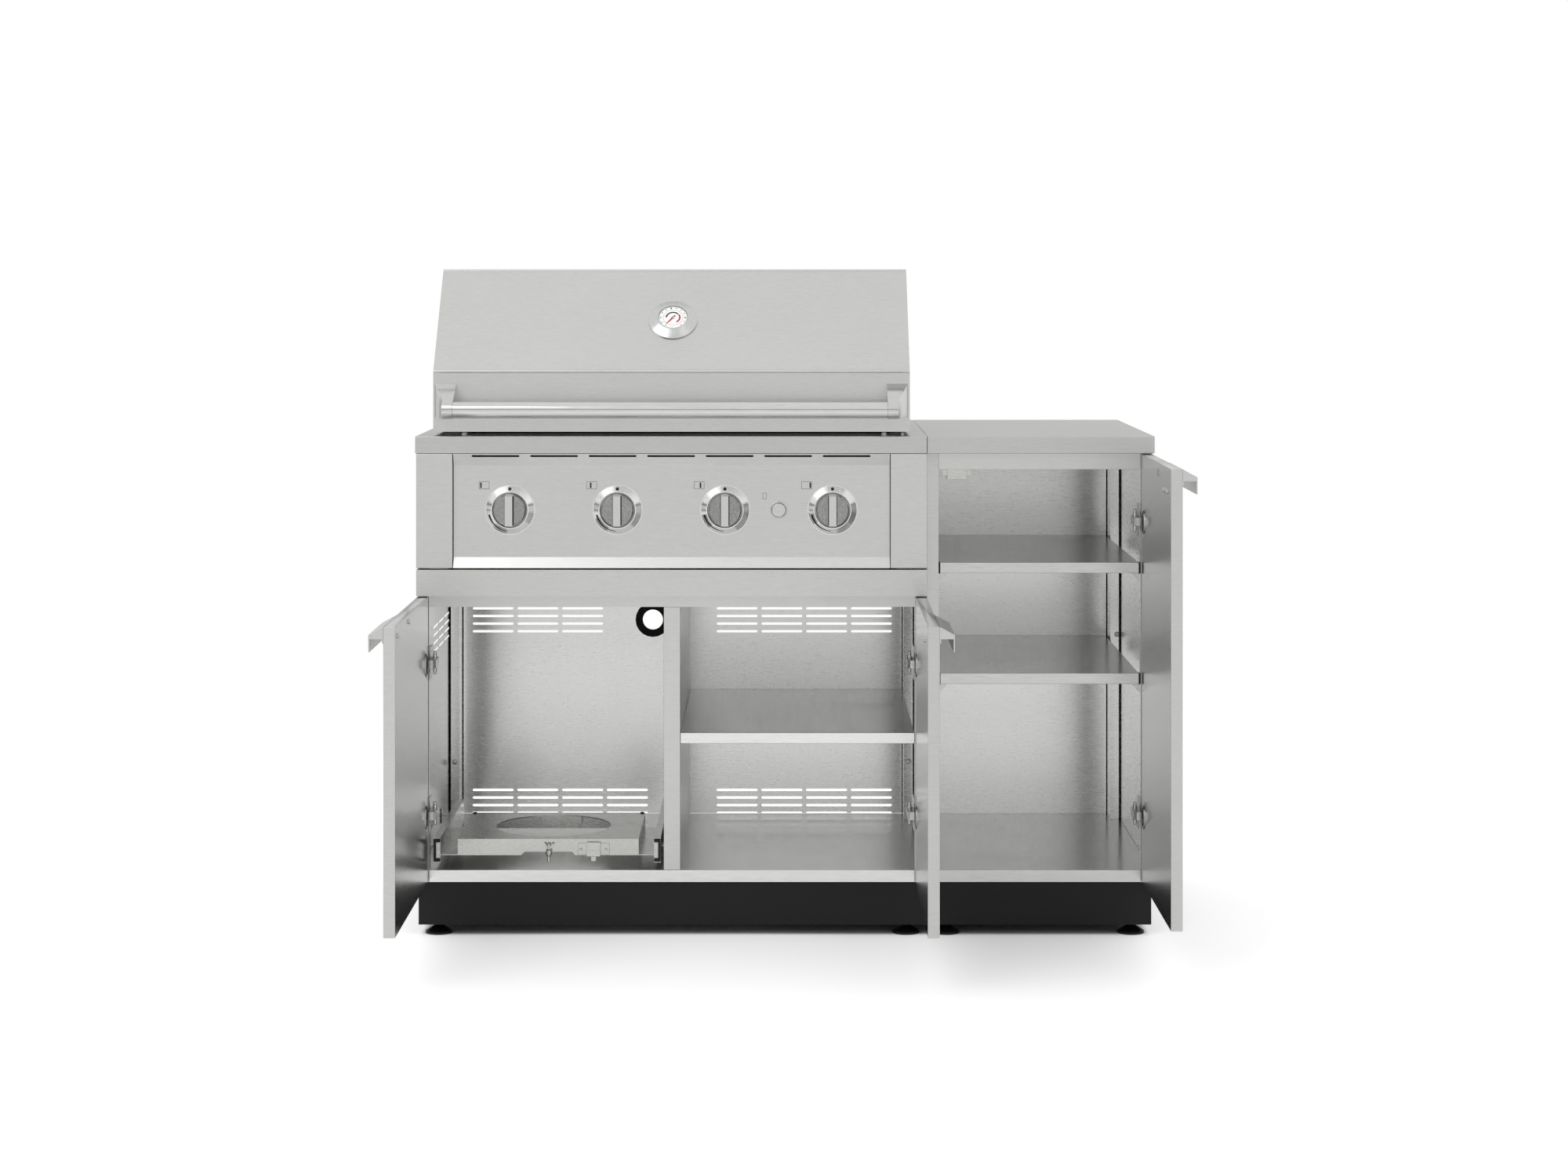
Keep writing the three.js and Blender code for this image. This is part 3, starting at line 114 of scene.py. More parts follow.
def level_brushing():
    tree = bpy.data.node_groups.new("Level brushing", "ShaderNodeTree")
    group_socket(tree, "INPUT", "Dark", "Color")
    group_socket(tree, "INPUT", "Light", "Color")
    group_socket(tree, "INPUT", "Lines per metre", "Float", 600.0)
    group_socket(tree, "INPUT", "Strokes per metre", "Float", 14.0)
    group_socket(tree, "INPUT", "Roughness", "Float", 0.3)
    group_socket(tree, "INPUT", "Spread", "Float", 0.1)
    group_socket(tree, "OUTPUT", "Colour", "Color")
    group_socket(tree, "OUTPUT", "Roughness", "Float")
    group_socket(tree, "OUTPUT", "Height", "Float")
    ins = tree.nodes.new("NodeGroupInput").outputs
    outs = tree.nodes.new("NodeGroupOutput").inputs
    where = tree.nodes.new("ShaderNodeTexCoord")
    facing = tree.nodes.new("ShaderNodeSeparateXYZ")
    tree.links.new(where.outputs["Normal"], facing.inputs[0])
    # The stroke runs along X, and along Y on a sheet that faces sideways.
    turned_aside = 0.75
    sideways = worked_out(tree, "GREATER_THAN",
                          worked_out(tree, "ABSOLUTE", facing.outputs["X"]), turned_aside)
    ahead = worked_out(tree, "SUBTRACT", 1.0, sideways)
    stroke, lines = ins["Strokes per metre"], ins["Lines per metre"]
    run_x = worked_out(tree, "ADD", worked_out(tree, "MULTIPLY", sideways, lines),
                       worked_out(tree, "MULTIPLY", ahead, stroke))
    run_y = worked_out(tree, "ADD", worked_out(tree, "MULTIPLY", sideways, stroke),
                       worked_out(tree, "MULTIPLY", ahead, lines))
    scale = tree.nodes.new("ShaderNodeCombineXYZ")
    for socket, value in zip(scale.inputs, (run_x, run_y, lines)):
        tree.links.new(value, socket)
    stretched = vector_worked_out(tree, "MULTIPLY", where.outputs["Object"], scale.outputs[0])
    fine = noise(tree, stretched, 1.0, 3.0, 0.65)
    broad = noise(tree, stretched, 0.17, 2.0)
    cloud = noise(tree, where.outputs["Object"], 3.5, 2.0)
    # The fine strokes give most of the grain, broad ones and slow clouds the rest.
    fine_share, broad_share, cloud_share = 0.76, 0.1, 0.14
    rest = worked_out(tree, "ADD", worked_out(tree, "MULTIPLY", broad, broad_share),
                      worked_out(tree, "MULTIPLY", cloud, cloud_share))
    grain = worked_out(tree, "ADD", worked_out(tree, "MULTIPLY", fine, fine_share), rest)
    level = spread_out(tree, grain, 0.36, 0.64)
    tree.links.new(colour_between(tree, level, ins["Dark"], ins["Light"]), outs["Colour"])
    swing = worked_out(tree, "MULTIPLY", worked_out(tree, "SUBTRACT", level, 0.5), ins["Spread"])
    tree.links.new(worked_out(tree, "ADD", ins["Roughness"], swing), outs["Roughness"])
    tree.links.new(grain, outs["Height"])
    return tree


def handling_marks():
    tree = bpy.data.node_groups.new("Handling marks", "ShaderNodeTree")
    group_socket(tree, "INPUT", "Amount", "Float", 0.06)
    group_socket(tree, "INPUT", "Marks per metre", "Float", 9.0)
    group_socket(tree, "OUTPUT", "Roughness", "Float")
    ins = tree.nodes.new("NodeGroupInput").outputs
    outs = tree.nodes.new("NodeGroupOutput").inputs
    scaled = vector_worked_out(tree, "MULTIPLY", object_place(tree), ins["Marks per metre"])
    patches = spread_out(tree, noise(tree, scaled, 1.0, 4.0, 0.6), 0.5, 0.72)
    tree.links.new(worked_out(tree, "MULTIPLY", patches, ins["Amount"]), outs["Roughness"])
    return tree


def sheet_waves():
    # Thin sheet is never quite flat: slow waves bend what it mirrors.
    tree = bpy.data.node_groups.new("Sheet waves", "ShaderNodeTree")
    group_socket(tree, "INPUT", "Grain", "Float", 0.5)
    group_socket(tree, "INPUT", "Waves", "Float", 0.5)
    group_socket(tree, "OUTPUT", "Height", "Float")
    ins = tree.nodes.new("NodeGroupInput").outputs
    outs = tree.nodes.new("NodeGroupOutput").inputs
    slow = worked_out(tree, "MULTIPLY", noise(tree, object_place(tree), 14.0, 1.0), ins["Waves"])
    fine = worked_out(tree, "MULTIPLY", ins["Grain"], 0.3)
    tree.links.new(worked_out(tree, "ADD", fine, slow), outs["Height"])
    return tree


brushing_group = level_brushing()
marks_group = handling_marks()
waves_group = sheet_waves()


def srgb(code):
    parts = [int(code[n:n + 2], 16) / 255 for n in (0, 2, 4)]
    return (*[p / 12.92 if p <= 0.04045 else ((p + 0.055) / 1.055) ** 2.4 for p in parts], 1.0)


def fresh_material(name):
    material = bpy.data.materials.new(name)
    material.use_nodes = True
    return material, material.node_tree, material.node_tree.nodes["Principled BSDF"]


def placed_group(tree, group, **values):
    node = tree.nodes.new("ShaderNodeGroup")
    node.node_tree = group
    for name, value in values.items():
        node.inputs[name.replace("_", " ")].default_value = value
    return node


def bump_into(tree, shader, height, strength, distance):
    bump = tree.nodes.new("ShaderNodeBump")
    bump.inputs["Strength"].default_value = strength
    bump.inputs["Distance"].default_value = distance
    tree.links.new(height, bump.inputs["Height"])
    tree.links.new(bump.outputs["Normal"], shader.inputs["Normal"])


def steel(name, dark, light, roughness, spread, lines, strokes, bump, waves=0.0):
    material, tree, shader = fresh_material(name)
    grain = placed_group(tree, brushing_group, Dark=srgb(dark), Light=srgb(light),
                         Lines_per_metre=lines, Strokes_per_metre=strokes,
                         Roughness=roughness, Spread=spread)
    marks = placed_group(tree, marks_group, Amount=0.05, Marks_per_metre=9.0)
    shader.inputs["Metallic"].default_value = 1.0
    tree.links.new(grain.outputs["Colour"], shader.inputs["Base Color"])
    tree.links.new(worked_out(tree, "ADD", grain.outputs["Roughness"], marks.outputs["Roughness"]),
                   shader.inputs["Roughness"])
    height = grain.outputs["Height"]
    if waves:
        wavy = placed_group(tree, waves_group, Waves=waves)
        tree.links.new(height, wavy.inputs["Grain"])
        height = wavy.outputs["Height"]
    bump_into(tree, shader, height, bump, 0.0004)
    return material


def welded_smooth():
    tree = bpy.data.node_groups.new("Welded and smoothed", "GeometryNodeTree")
    for way in ("INPUT", "OUTPUT"):
        group_socket(tree, way, "Geometry", "Geometry")
    group_socket(tree, "INPUT", "Crease", "Float", math.radians(20))
    start = tree.nodes.new("NodeGroupInput")
    end = tree.nodes.new("NodeGroupOutput")
    weld = tree.nodes.new("GeometryNodeMergeByDistance")
    weld.inputs["Distance"].default_value = 0.00002
    bare = tree.nodes.new("GeometryNodeRemoveAttribute")
    bare.inputs["Name"].default_value = "custom_normal"
    soft = tree.nodes.new("GeometryNodeSetShadeSmooth")
    crisp = tree.nodes.new("GeometryNodeSetShadeSmooth")
    crisp.domain = "EDGE"
    crisp.inputs["Shade Smooth"].default_value = False
    angle = tree.nodes.new("GeometryNodeInputMeshEdgeAngle")
    steep = tree.nodes.new("FunctionNodeCompare")
    steep.operation = "GREATER_THAN"
    tree.links.new(angle.outputs["Unsigned Angle"], steep.inputs["A"])
    tree.links.new(start.outputs["Crease"], steep.inputs["B"])
    chain = [start.outputs["Geometry"]]
    for node in (weld, bare, soft, crisp):
        tree.links.new(chain[-1], node.inputs["Geometry"])
        chain.append(node.outputs["Geometry"])
    tree.links.new(steep.outputs[0], crisp.inputs["Selection"])
    tree.links.new(chain[-1], end.inputs["Geometry"])
    return tree


smoothing = welded_smooth()


def rounded(target, width):
    rounding = target.modifiers.new("rounded edges", "BEVEL")
    rounding.width = width
    rounding.segments = 2
    rounding.limit_method = "ANGLE"
    rounding.angle_limit = math.radians(24)
    rounding.harden_normals = True


def finish_node(name, material, edge=0.0):
    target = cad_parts[name]
    target.data.materials.clear()
    target.data.materials.append(material)
    target.modifiers.new("smooth", "NODES").node_group = smoothing
    if edge:
        rounded(target, edge)


def new_piece(name, bm, material, body, edge=0.0):
    bmesh.ops.recalc_face_normals(bm, faces=bm.faces)
    mesh = bpy.data.meshes.new(name)
    bm.to_mesh(mesh)
    bm.free()
    mesh.materials.append(material)
    piece = bpy.data.objects.new(name, mesh)
    bpy.context.scene.collection.objects.link(piece)
    piece.modifiers.new("smooth", "NODES").node_group = smoothing
    if edge:
        rounded(piece, edge)
    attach(piece, body)


def in_metres(place):
    return Vector(place) * 0.001


def ring_of(bm, centre, radius, across, beside, count):
    turns = [math.tau * n / count for n in range(count)]
    return [bm.verts.new(in_metres(
        centre + radius * (math.cos(turn) * across + math.sin(turn) * beside))) for turn in turns]


def turned(name, profile, place, axis, material, body, sides):
    # profile holds (radius, distance along the axis) pairs in mm.
    # A profile that ends where it starts makes a ring.
    bm = bmesh.new()
    axis = Vector(axis).normalized()
    across = axis.orthogonal().normalized()
    beside = axis.cross(across)
    rings = [ring_of(bm, Vector(place) + axis * along, radius, across, beside,
                     sides if radius else 1)
             for radius, along in profile]
    ring_shape = profile[0] == profile[-1]
    if ring_shape:
        bmesh.ops.delete(bm, geom=rings.pop(), context="VERTS")
        rings.append(rings[0])
    for first, second in zip(rings, rings[1:]):
        for n in range(sides):
            corners = [first[n % len(first)], first[(n + 1) % len(first)],
                       second[(n + 1) % len(second)], second[n % len(second)]]
            bm.faces.new(list(dict.fromkeys(corners)))
    for ring in () if ring_shape else (rings[0], rings[-1]):
        if len(ring) > 1:
            bm.faces.new(ring)
    new_piece(name, bm, material, body)


def pan_head(name, place, facing, radius, material, body):
    tall = radius * 0.55
    profile = [(radius, -0.3), (radius, tall * 0.45), (radius * 0.8, tall * 0.85),
               (radius * 0.5, tall), (radius * 0.38, tall * 0.35), (0, tall * 0.35)]
    turned(name, profile, place, facing, material, body, 20)


def lining():
    # Sheet that faces the cabinet's centre has its own colours and roughness, and a dark
    # line of painted shade in the gap where a corner post meets the back.
    tree = bpy.data.node_groups.new("Lining", "ShaderNodeTree")
    group_socket(tree, "INPUT", "Centre", "Vector")
    for side in ("Outer", "Inner"):
        group_socket(tree, "INPUT", side + " colour", "Color")
        group_socket(tree, "INPUT", side + " roughness", "Float", 0.3)
    for joint in ("First joint", "Second joint"):
        group_socket(tree, "INPUT", joint, "Float", no_joint)
    group_socket(tree, "OUTPUT", "Colour", "Color")
    group_socket(tree, "OUTPUT", "Roughness", "Float")
    ins = tree.nodes.new("NodeGroupInput").outputs
    outs = tree.nodes.new("NodeGroupOutput").inputs
    where = tree.nodes.new("ShaderNodeTexCoord").outputs
    away = vector_worked_out(tree, "SUBTRACT", where["Object"], ins["Centre"])
    facing = vector_worked_out(tree, "DOT_PRODUCT", away, where["Normal"])
    mask = worked_out(tree, "LESS_THAN", facing, 0.0)
    colour = colour_between(tree, mask, ins["Outer colour"], ins["Inner colour"])
    place = object_axes(tree)
    at_back = worked_out(tree, "GREATER_THAN", place["Y"], joint_depth)
    corner = worked_out(tree, "MULTIPLY", mask, at_back)
    # Painted shade: a near black line on the inner face, where the gap beside each corner post
    # lies in shade.
    for joint in ("First joint", "Second joint"):
        line = worked_out(tree, "COMPARE", place["X"], ins[joint], joint_shade_half_width)
        line = worked_out(tree, "MULTIPLY", line, corner)
        colour = colour_between(tree, line, colour, srgb("161616"))
    tree.links.new(colour, outs["Colour"])
    outer = worked_out(tree, "SUBTRACT", 1.0, mask)
    outer = worked_out(tree, "MULTIPLY", outer, ins["Outer roughness"])
    inner = worked_out(tree, "MULTIPLY", mask, ins["Inner roughness"])
    tree.links.new(worked_out(tree, "ADD", inner, outer), outs["Roughness"])
    return tree


# In metres; a sheet without a joint has it far outside the cabinet.
joint_depth, joint_shade_half_width, no_joint = 0.511, 0.0017, 9.0
lining_group = lining()
outer_colours = ("C2C2C0", "CDCDCB")


def lined_sheet(name, centre, dark, light, roughness, spread, lines, strokes,
                joints=(no_joint, no_joint)):
    material = steel(name, *outer_colours,
                     roughness=0.30, spread=0.06, lines=1500.0, strokes=60.0, bump=0.01, waves=0.5)
    tree = material.node_tree
    shader = tree.nodes["Principled BSDF"]
    inside = placed_group(tree, brushing_group, Dark=srgb(dark), Light=srgb(light),
                          Lines_per_metre=lines, Strokes_per_metre=strokes,
                          Roughness=roughness, Spread=spread).outputs
    both = placed_group(tree, lining_group, Centre=centre,
                        First_joint=joints[0], Second_joint=joints[1])
    for kind, socket in (("colour", shader.inputs["Base Color"]),
                         ("roughness", shader.inputs["Roughness"])):
        tree.links.new(socket.links[0].from_socket, both.inputs["Outer " + kind])
        tree.links.new(inside[kind.capitalize()], both.inputs["Inner " + kind])
        tree.links.new(both.outputs[kind.capitalize()], socket)
    # The level brushing smears what the sheet mirrors up and down, but not sideways.
    shader.inputs["Anisotropic"].default_value = 0.95
    shader.inputs["Anisotropic Rotation"].default_value = 0.25
    return material


grill_centre = (-0.207, 0.2, 0.45)
outer_sheet = steel("outer_sheet", *outer_colours,
                    roughness=0.30, spread=0.06, lines=1500.0, strokes=60.0, bump=0.03)
# Painted lighter than the storage side's floor pan and shelves: painted light.
painted_light_sheet = steel("painted_light_sheet", "D7D7D6", "EAEAE9",
                     roughness=0.2, spread=0.06, lines=700.0, strokes=30.0, bump=0.05, waves=0.4)
# Its inner face is painted near white: painted light, not a paler sheet.
back_sheet_lit_inside = lined_sheet("back_sheet_lit_inside", grill_centre, "E8E8E7", "F2F2F1", roughness=0.26,
                         spread=0.05, lines=300.0, strokes=40.0, joints=(-0.6502, 0.2374))
side_sheet = lined_sheet("side_sheet", grill_centre, "BCBCBB", "CDCDCC", roughness=0.2,
                         spread=0.02, lines=700.0, strokes=30.0)
plated = steel("plated_parts", "B4B4B1", "CECECB",
               roughness=0.24, spread=0.1, lines=700.0, strokes=90.0, bump=0.05)
for name in ("grill_side_left", "grill_side_right"):
    finish_node(name, side_sheet)
finish_node("grill_divider", outer_sheet, 0.0006)
finish_node("grill_back", back_sheet_lit_inside)
finish_node("grill_floor", painted_light_sheet, 0.0005)
front, right, left, above = (0, -1, 0), (1, 0, 0), (-1, 0, 0), (0, 0, 1)
pan_head("post_screw_left", (-659.3, 451.7, 234), front, 5.2, plated, "cabinet")
pan_head("post_screw_right", (246.6, 451.7, 235), front, 5.2, plated, "cabinet")


# Hose grommet. A soft black rubber ring, moulded, pressed into the round hole of the
# back panel for the gas hose.
def moulded_grain():
    tree = bpy.data.node_groups.new("Moulded grain", "ShaderNodeTree")
    group_socket(tree, "INPUT", "Dark", "Color")
    group_socket(tree, "INPUT", "Light", "Color")
    group_socket(tree, "INPUT", "Roughness", "Float", 0.5)
    group_socket(tree, "INPUT", "Pebbles per metre", "Float", 900.0)
    group_socket(tree, "OUTPUT", "Colour", "Color")
    group_socket(tree, "OUTPUT", "Roughness", "Float")
    group_socket(tree, "OUTPUT", "Height", "Float")
    ins = tree.nodes.new("NodeGroupInput").outputs
    outs = tree.nodes.new("NodeGroupOutput").inputs
    where = object_place(tree)
    dusting = noise(tree, where, 9.0, 3.0, 0.55)
    tree.links.new(colour_between(tree, dusting, ins["Dark"], ins["Light"]), outs["Colour"])
    swing = spread_out(tree, dusting, 0.2, 0.8, -0.08, 0.08)
    tree.links.new(worked_out(tree, "ADD", ins["Roughness"], swing), outs["Roughness"])
    pebbled = vector_worked_out(tree, "MULTIPLY", where, ins["Pebbles per metre"])
    tree.links.new(noise(tree, pebbled, 1.0, 3.0, 0.6), outs["Height"])
    return tree


moulded_group = moulded_grain()


def moulded(name, dark, light, roughness, pebbles, bump, specular):
    material, tree, shader = fresh_material(name)
    grain = placed_group(tree, moulded_group, Dark=srgb(dark), Light=srgb(light),
                         Roughness=roughness, Pebbles_per_metre=pebbles).outputs
    tree.links.new(grain["Colour"], shader.inputs["Base Color"])
    tree.links.new(grain["Roughness"], shader.inputs["Roughness"])
    shader.inputs["Specular IOR Level"].default_value = specular
    bump_into(tree, shader, grain["Height"], bump, 0.0003)
    return material


black_rubber = moulded("black_rubber", "0B0B0B", "161616",
                       roughness=0.62, pebbles=900.0, bump=0.25, specular=0.3)
finish_node("hose_grommet", black_rubber, 0.0012)


# Plinths and levelling feet. Each plinth is a folded ring of powder-coated black
# steel, and the feet are black moulded discs on threaded stems.
powder_coat = moulded("black_powder_coat", "131313", "1C1C1C",
                      roughness=0.55, pebbles=1500.0, bump=0.35, specular=0.25)
foot_plastic = moulded("foot_plastic", "050505", "0C0C0C",
                       roughness=0.42, pebbles=700.0, bump=0.1, specular=0.35)
for module in ("grill", "storage"):
    finish_node(module + "_plinth", powder_coat, 0.0012)
    for place in ("front_left", "front_right", "rear_left", "rear_right"):
        finish_node(f"{module}_foot_{place}", foot_plastic)


# Shelves of both cabinets. Folded pans of thin sheet; those of the storage side hang
# on black end clips and small welded brackets, the grill side's is screwed in.
def pressed(name, outline, place, across, up, depth, material, body, edge=0.0):
    # outline holds (across, up) pairs in mm from place; depth runs along across x up.
    bm = bmesh.new()
    across, up = Vector(across), Vector(up)
    behind = across.cross(up) * depth
    front = [bm.verts.new(in_metres(Vector(place) + across * a + up * b)) for a, b in outline]
    back = [bm.verts.new(v.co + behind * 0.001) for v in front]
    bm.faces.new(front)
    bm.faces.new(back)
    for n in range(len(front)):
        m = (n + 1) % len(front)
        bm.faces.new([front[n], front[m], back[m], back[n]])
    new_piece(name, bm, material, body, edge)


# The grill shelf is painted lighter than the storage shelves: painted light.
finish_node("grill_shelf", painted_light_sheet, 0.001)
inner_sheet = steel("inner_sheet", "BCBCBB", "CDCDCC",
                    roughness=0.2, spread=0.06, lines=700.0, strokes=30.0, bump=0.05, waves=0.4)
for name in ("storage_shelf_upper", "storage_shelf_lower"):
    finish_node(name, inner_sheet, 0.001)
    low, high = (corner * 1000 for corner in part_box(name))
    for side, edge, inward in (("left", low.x, 1), ("right", high.x, -1)):
        for end, y in (("front", low.y + 1.5), ("rear", 440.0)):
            pressed(f"{name}_clip_{side}_{end}",
                    [(0.15, -2), (-2.85, 0), (-2.85, 17), (-1.6, 19.5), (0.15, 19.5)],
                    (edge, y, low.z), (inward, 0, 0), above, -14 * inward, foot_plastic, "cabinet")
        pressed(f"{name}_bracket_{side}",
                [(-2.7, 0), (13, 0), (13, -1.6), (-1.2, -16), (-2.7, -16)],
                (edge, low.y + 3, low.z - 0.1), (inward, 0, 0), above, -1.5 * inward,
                plated, "cabinet")


# Storage cabinet. One sheet wraps both sides and the back, with a folded floor pan and
# a top rail let in; pin holes run up the right side every 50 mm.
def tinted(tree, mask, code):
    colour = tree.nodes["Principled BSDF"].inputs["Base Color"]
    bare = colour.links[0].from_socket
    tree.links.new(colour_between(tree, mask, bare, srgb(code)), colour)


def length_of(tree, across, up):
    square = worked_out(tree, "ADD", worked_out(tree, "MULTIPLY", across, across),
                        worked_out(tree, "MULTIPLY", up, up))
    return worked_out(tree, "SQRT", square)


def pin_holes():
    tree = bpy.data.node_groups.new("Pin holes", "ShaderNodeTree")
    group_socket(tree, "INPUT", "Row", "Float")
    group_socket(tree, "INPUT", "First", "Float")
    group_socket(tree, "INPUT", "Pitch", "Float", 50.0)
    group_socket(tree, "INPUT", "Radius", "Float", 2.6)
    group_socket(tree, "OUTPUT", "Mask", "Float")
    ins = tree.nodes.new("NodeGroupInput").outputs
    x, y, z = (worked_out(tree, "MULTIPLY", axis, 1000.0) for axis in object_axes(tree))
    y = worked_out(tree, "SUBTRACT", y, ins["Row"])
    z = worked_out(tree, "SUBTRACT", z, ins["First"])
    step = worked_out(tree, "ROUND", worked_out(tree, "DIVIDE", z, ins["Pitch"]))
    off = worked_out(tree, "SUBTRACT", z, worked_out(tree, "MULTIPLY", step, ins["Pitch"]))
    hole = worked_out(tree, "LESS_THAN", length_of(tree, y, off), ins["Radius"])
    on_right_side = worked_out(tree, "COMPARE", x, right_side, 4.0)
    tree.links.new(worked_out(tree, "MULTIPLY", hole, on_right_side),
                   tree.nodes.new("NodeGroupOutput").inputs["Mask"])
    return tree


storage_centre = (0.465, 0.2, 0.5)
# Its inner faces are painted near white like the grill's back: painted light.
storage_sheet_lit_inside = lined_sheet("storage_sheet_lit_inside", storage_centre, "E8E8E7", "F2F2F1", roughness=0.26,
                            spread=0.05, lines=300.0, strokes=40.0, joints=(0.2806, 0.6502))
tree = storage_sheet_lit_inside.node_tree
right_side, first_hole, front_row, rear_row = 650.0, 611.0, -40.0, 461.0
holes_group = pin_holes()
# The pin holes are not cut: each is painted near black, painted shade standing in for the open
# hole.
hole_shade = [placed_group(tree, holes_group, Row=row, First=first_hole).outputs["Mask"]
         for row in (front_row, rear_row)]
tinted(tree, worked_out(tree, "MAXIMUM", *hole_shade), "1A1A1A")
finish_node("storage_wrapper", storage_sheet_lit_inside)
finish_node("storage_floor", inner_sheet, 0.0005)
finish_node("storage_top_rail", outer_sheet, 0.0006)
pan_head("post_screw_storage", (663.2, 451.7, 489), front, 5.2, plated, "cabinet")


# Magnetic catch. A plated case under the top rail with a pierced ear on each side; it
# holds the storage door by a small plate.
finish_node("magnetic_catch", plated, 0.0005)
for side, x in (("left", 292.5), ("right", 336.8)):
    pressed(f"catch_ear_{side}", [(-4.3, 0), (4.3, 0), (4.3, 9), (2.5, 11), (-2.5, 11), (-4.3, 9)],
            (x, -52.9, 841), right, above, 1.2, plated, "cabinet", 0.0003)


# Fascia rail and cheeks. Both are folded from outer sheet and frame the control panel
# on three sides.
for name in ("grill_fascia", "grill_cheek_left", "grill_cheek_right"):
    finish_node(name, outer_sheet, 0.001)


# Control panel. A folded sheet with a turned bezel round each knob; the marks for off,
# lighting and low are printed on the bezels, and a small burner plan beside each.
first_dial, dial_pitch, dial_height, panel_front = -501.0, 195.9, 779.3, -67.8


def dial_place():
    tree = bpy.data.node_groups.new("Place on the dial", "ShaderNodeTree")
    for name in ("Across", "Up", "Radius", "Number", "Front"):
        group_socket(tree, "OUTPUT", name, "Float")
    outs = tree.nodes.new("NodeGroupOutput").inputs
    x, y, z = (worked_out(tree, "MULTIPLY", axis, 1000.0) for axis in object_axes(tree))
    from_edge = worked_out(tree, "ADD", x, dial_pitch / 2 - first_dial)
    number = worked_out(tree, "FLOOR", worked_out(tree, "DIVIDE", from_edge, dial_pitch))
    across = worked_out(tree, "SUBTRACT", worked_out(tree, "ADD", x, -first_dial),
                        worked_out(tree, "MULTIPLY", number, dial_pitch))
    up = worked_out(tree, "SUBTRACT", z, dial_height)
    for name, value in (("Across", across), ("Up", up), ("Radius", length_of(tree, across, up)),
                        ("Number", number),
                        ("Front", worked_out(tree, "LESS_THAN", y, panel_front))):
        tree.links.new(value, outs[name])
    return tree


def within(tree, value, centre, half):
    off = worked_out(tree, "ABSOLUTE", worked_out(tree, "SUBTRACT", value, centre))
    return worked_out(tree, "LESS_THAN", off, half)


def all_of(tree, *masks):
    total = masks[0]
    for mask in masks[1:]:
        total = worked_out(tree, "MULTIPLY", total, mask)
    return total


def frame_line(tree, across, up, centre, half, line):
    outer = all_of(tree, within(tree, across, centre[0], half[0]),
                   within(tree, up, centre[1], half[1]))
    inner = all_of(tree, within(tree, across, centre[0], half[0] - line),
                   within(tree, up, centre[1], half[1] - line))
    return worked_out(tree, "SUBTRACT", outer, inner)


def ink_and_shade_marks():
    tree = bpy.data.node_groups.new("Ink and painted shade", "ShaderNodeTree")
    group_socket(tree, "INPUT", "Bare", "Color")
    group_socket(tree, "INPUT", "Black", "Float", 0.0)
    group_socket(tree, "INPUT", "Grey", "Float", 0.0)
    group_socket(tree, "OUTPUT", "Colour", "Color")
    group_socket(tree, "OUTPUT", "Metallic", "Float")
    ins = tree.nodes.new("NodeGroupInput").outputs
    outs = tree.nodes.new("NodeGroupOutput").inputs
    pale = colour_between(tree, ins["Grey"], ins["Bare"], srgb("5E5E5E"))
    tree.links.new(colour_between(tree, ins["Black"], pale, srgb("101010")), outs["Colour"])
    tree.links.new(worked_out(tree, "SUBTRACT", 1.0, ins["Black"]), outs["Metallic"])
    return tree


ink_and_shade_group = ink_and_shade_marks()


def ink_and_shade(tree, **masks):
    shader = tree.nodes["Principled BSDF"]
    marks = placed_group(tree, ink_and_shade_group)
    tree.links.new(shader.inputs["Base Color"].links[0].from_socket, marks.inputs["Bare"])
    for name, mask in masks.items():
        tree.links.new(mask, marks.inputs[name])
    tree.links.new(marks.outputs["Colour"], shader.inputs["Base Color"])
    tree.links.new(marks.outputs["Metallic"], shader.inputs["Metallic"])


dial_group = dial_place()
panel_sheet = outer_sheet.copy()
panel_sheet.name = "panel_sheet"
tree = panel_sheet.node_tree
dial = placed_group(tree, dial_group).outputs
across, up, radius = dial["Across"], dial["Up"], dial["Radius"]
bezel_radius, ring_radians_per_mm, print_line = 38.5, 8.0, 0.7

# Off is a dot at the top of the bezel, lighting a zigzag at its left.
dot = worked_out(tree, "LESS_THAN", length_of(
    tree, across, worked_out(tree, "SUBTRACT", up, bezel_radius)), 3.0)
bolt = worked_out(tree, "SINE", worked_out(tree, "MULTIPLY", across, 1.6))
bolt = worked_out(tree, "SUBTRACT", up, worked_out(tree, "MULTIPLY", bolt, 1.5))
zigzag = all_of(tree, within(tree, across, -bezel_radius, 3.8), within(tree, bolt, 0.0, 0.8))

# Low is an arc that thins out as it runs round the lower left quarter.
turn = worked_out(tree, "ARCTAN2", up, across)
swept = worked_out(tree, "DIVIDE", worked_out(tree, "ADD", turn, math.pi), math.pi / 2)
band = worked_out(tree, "SUBTRACT", 2.15, worked_out(tree, "MULTIPLY", swept, 1.75))
arc = all_of(tree, within(tree, swept, 0.55, 0.41), within(tree, radius, bezel_radius, band))

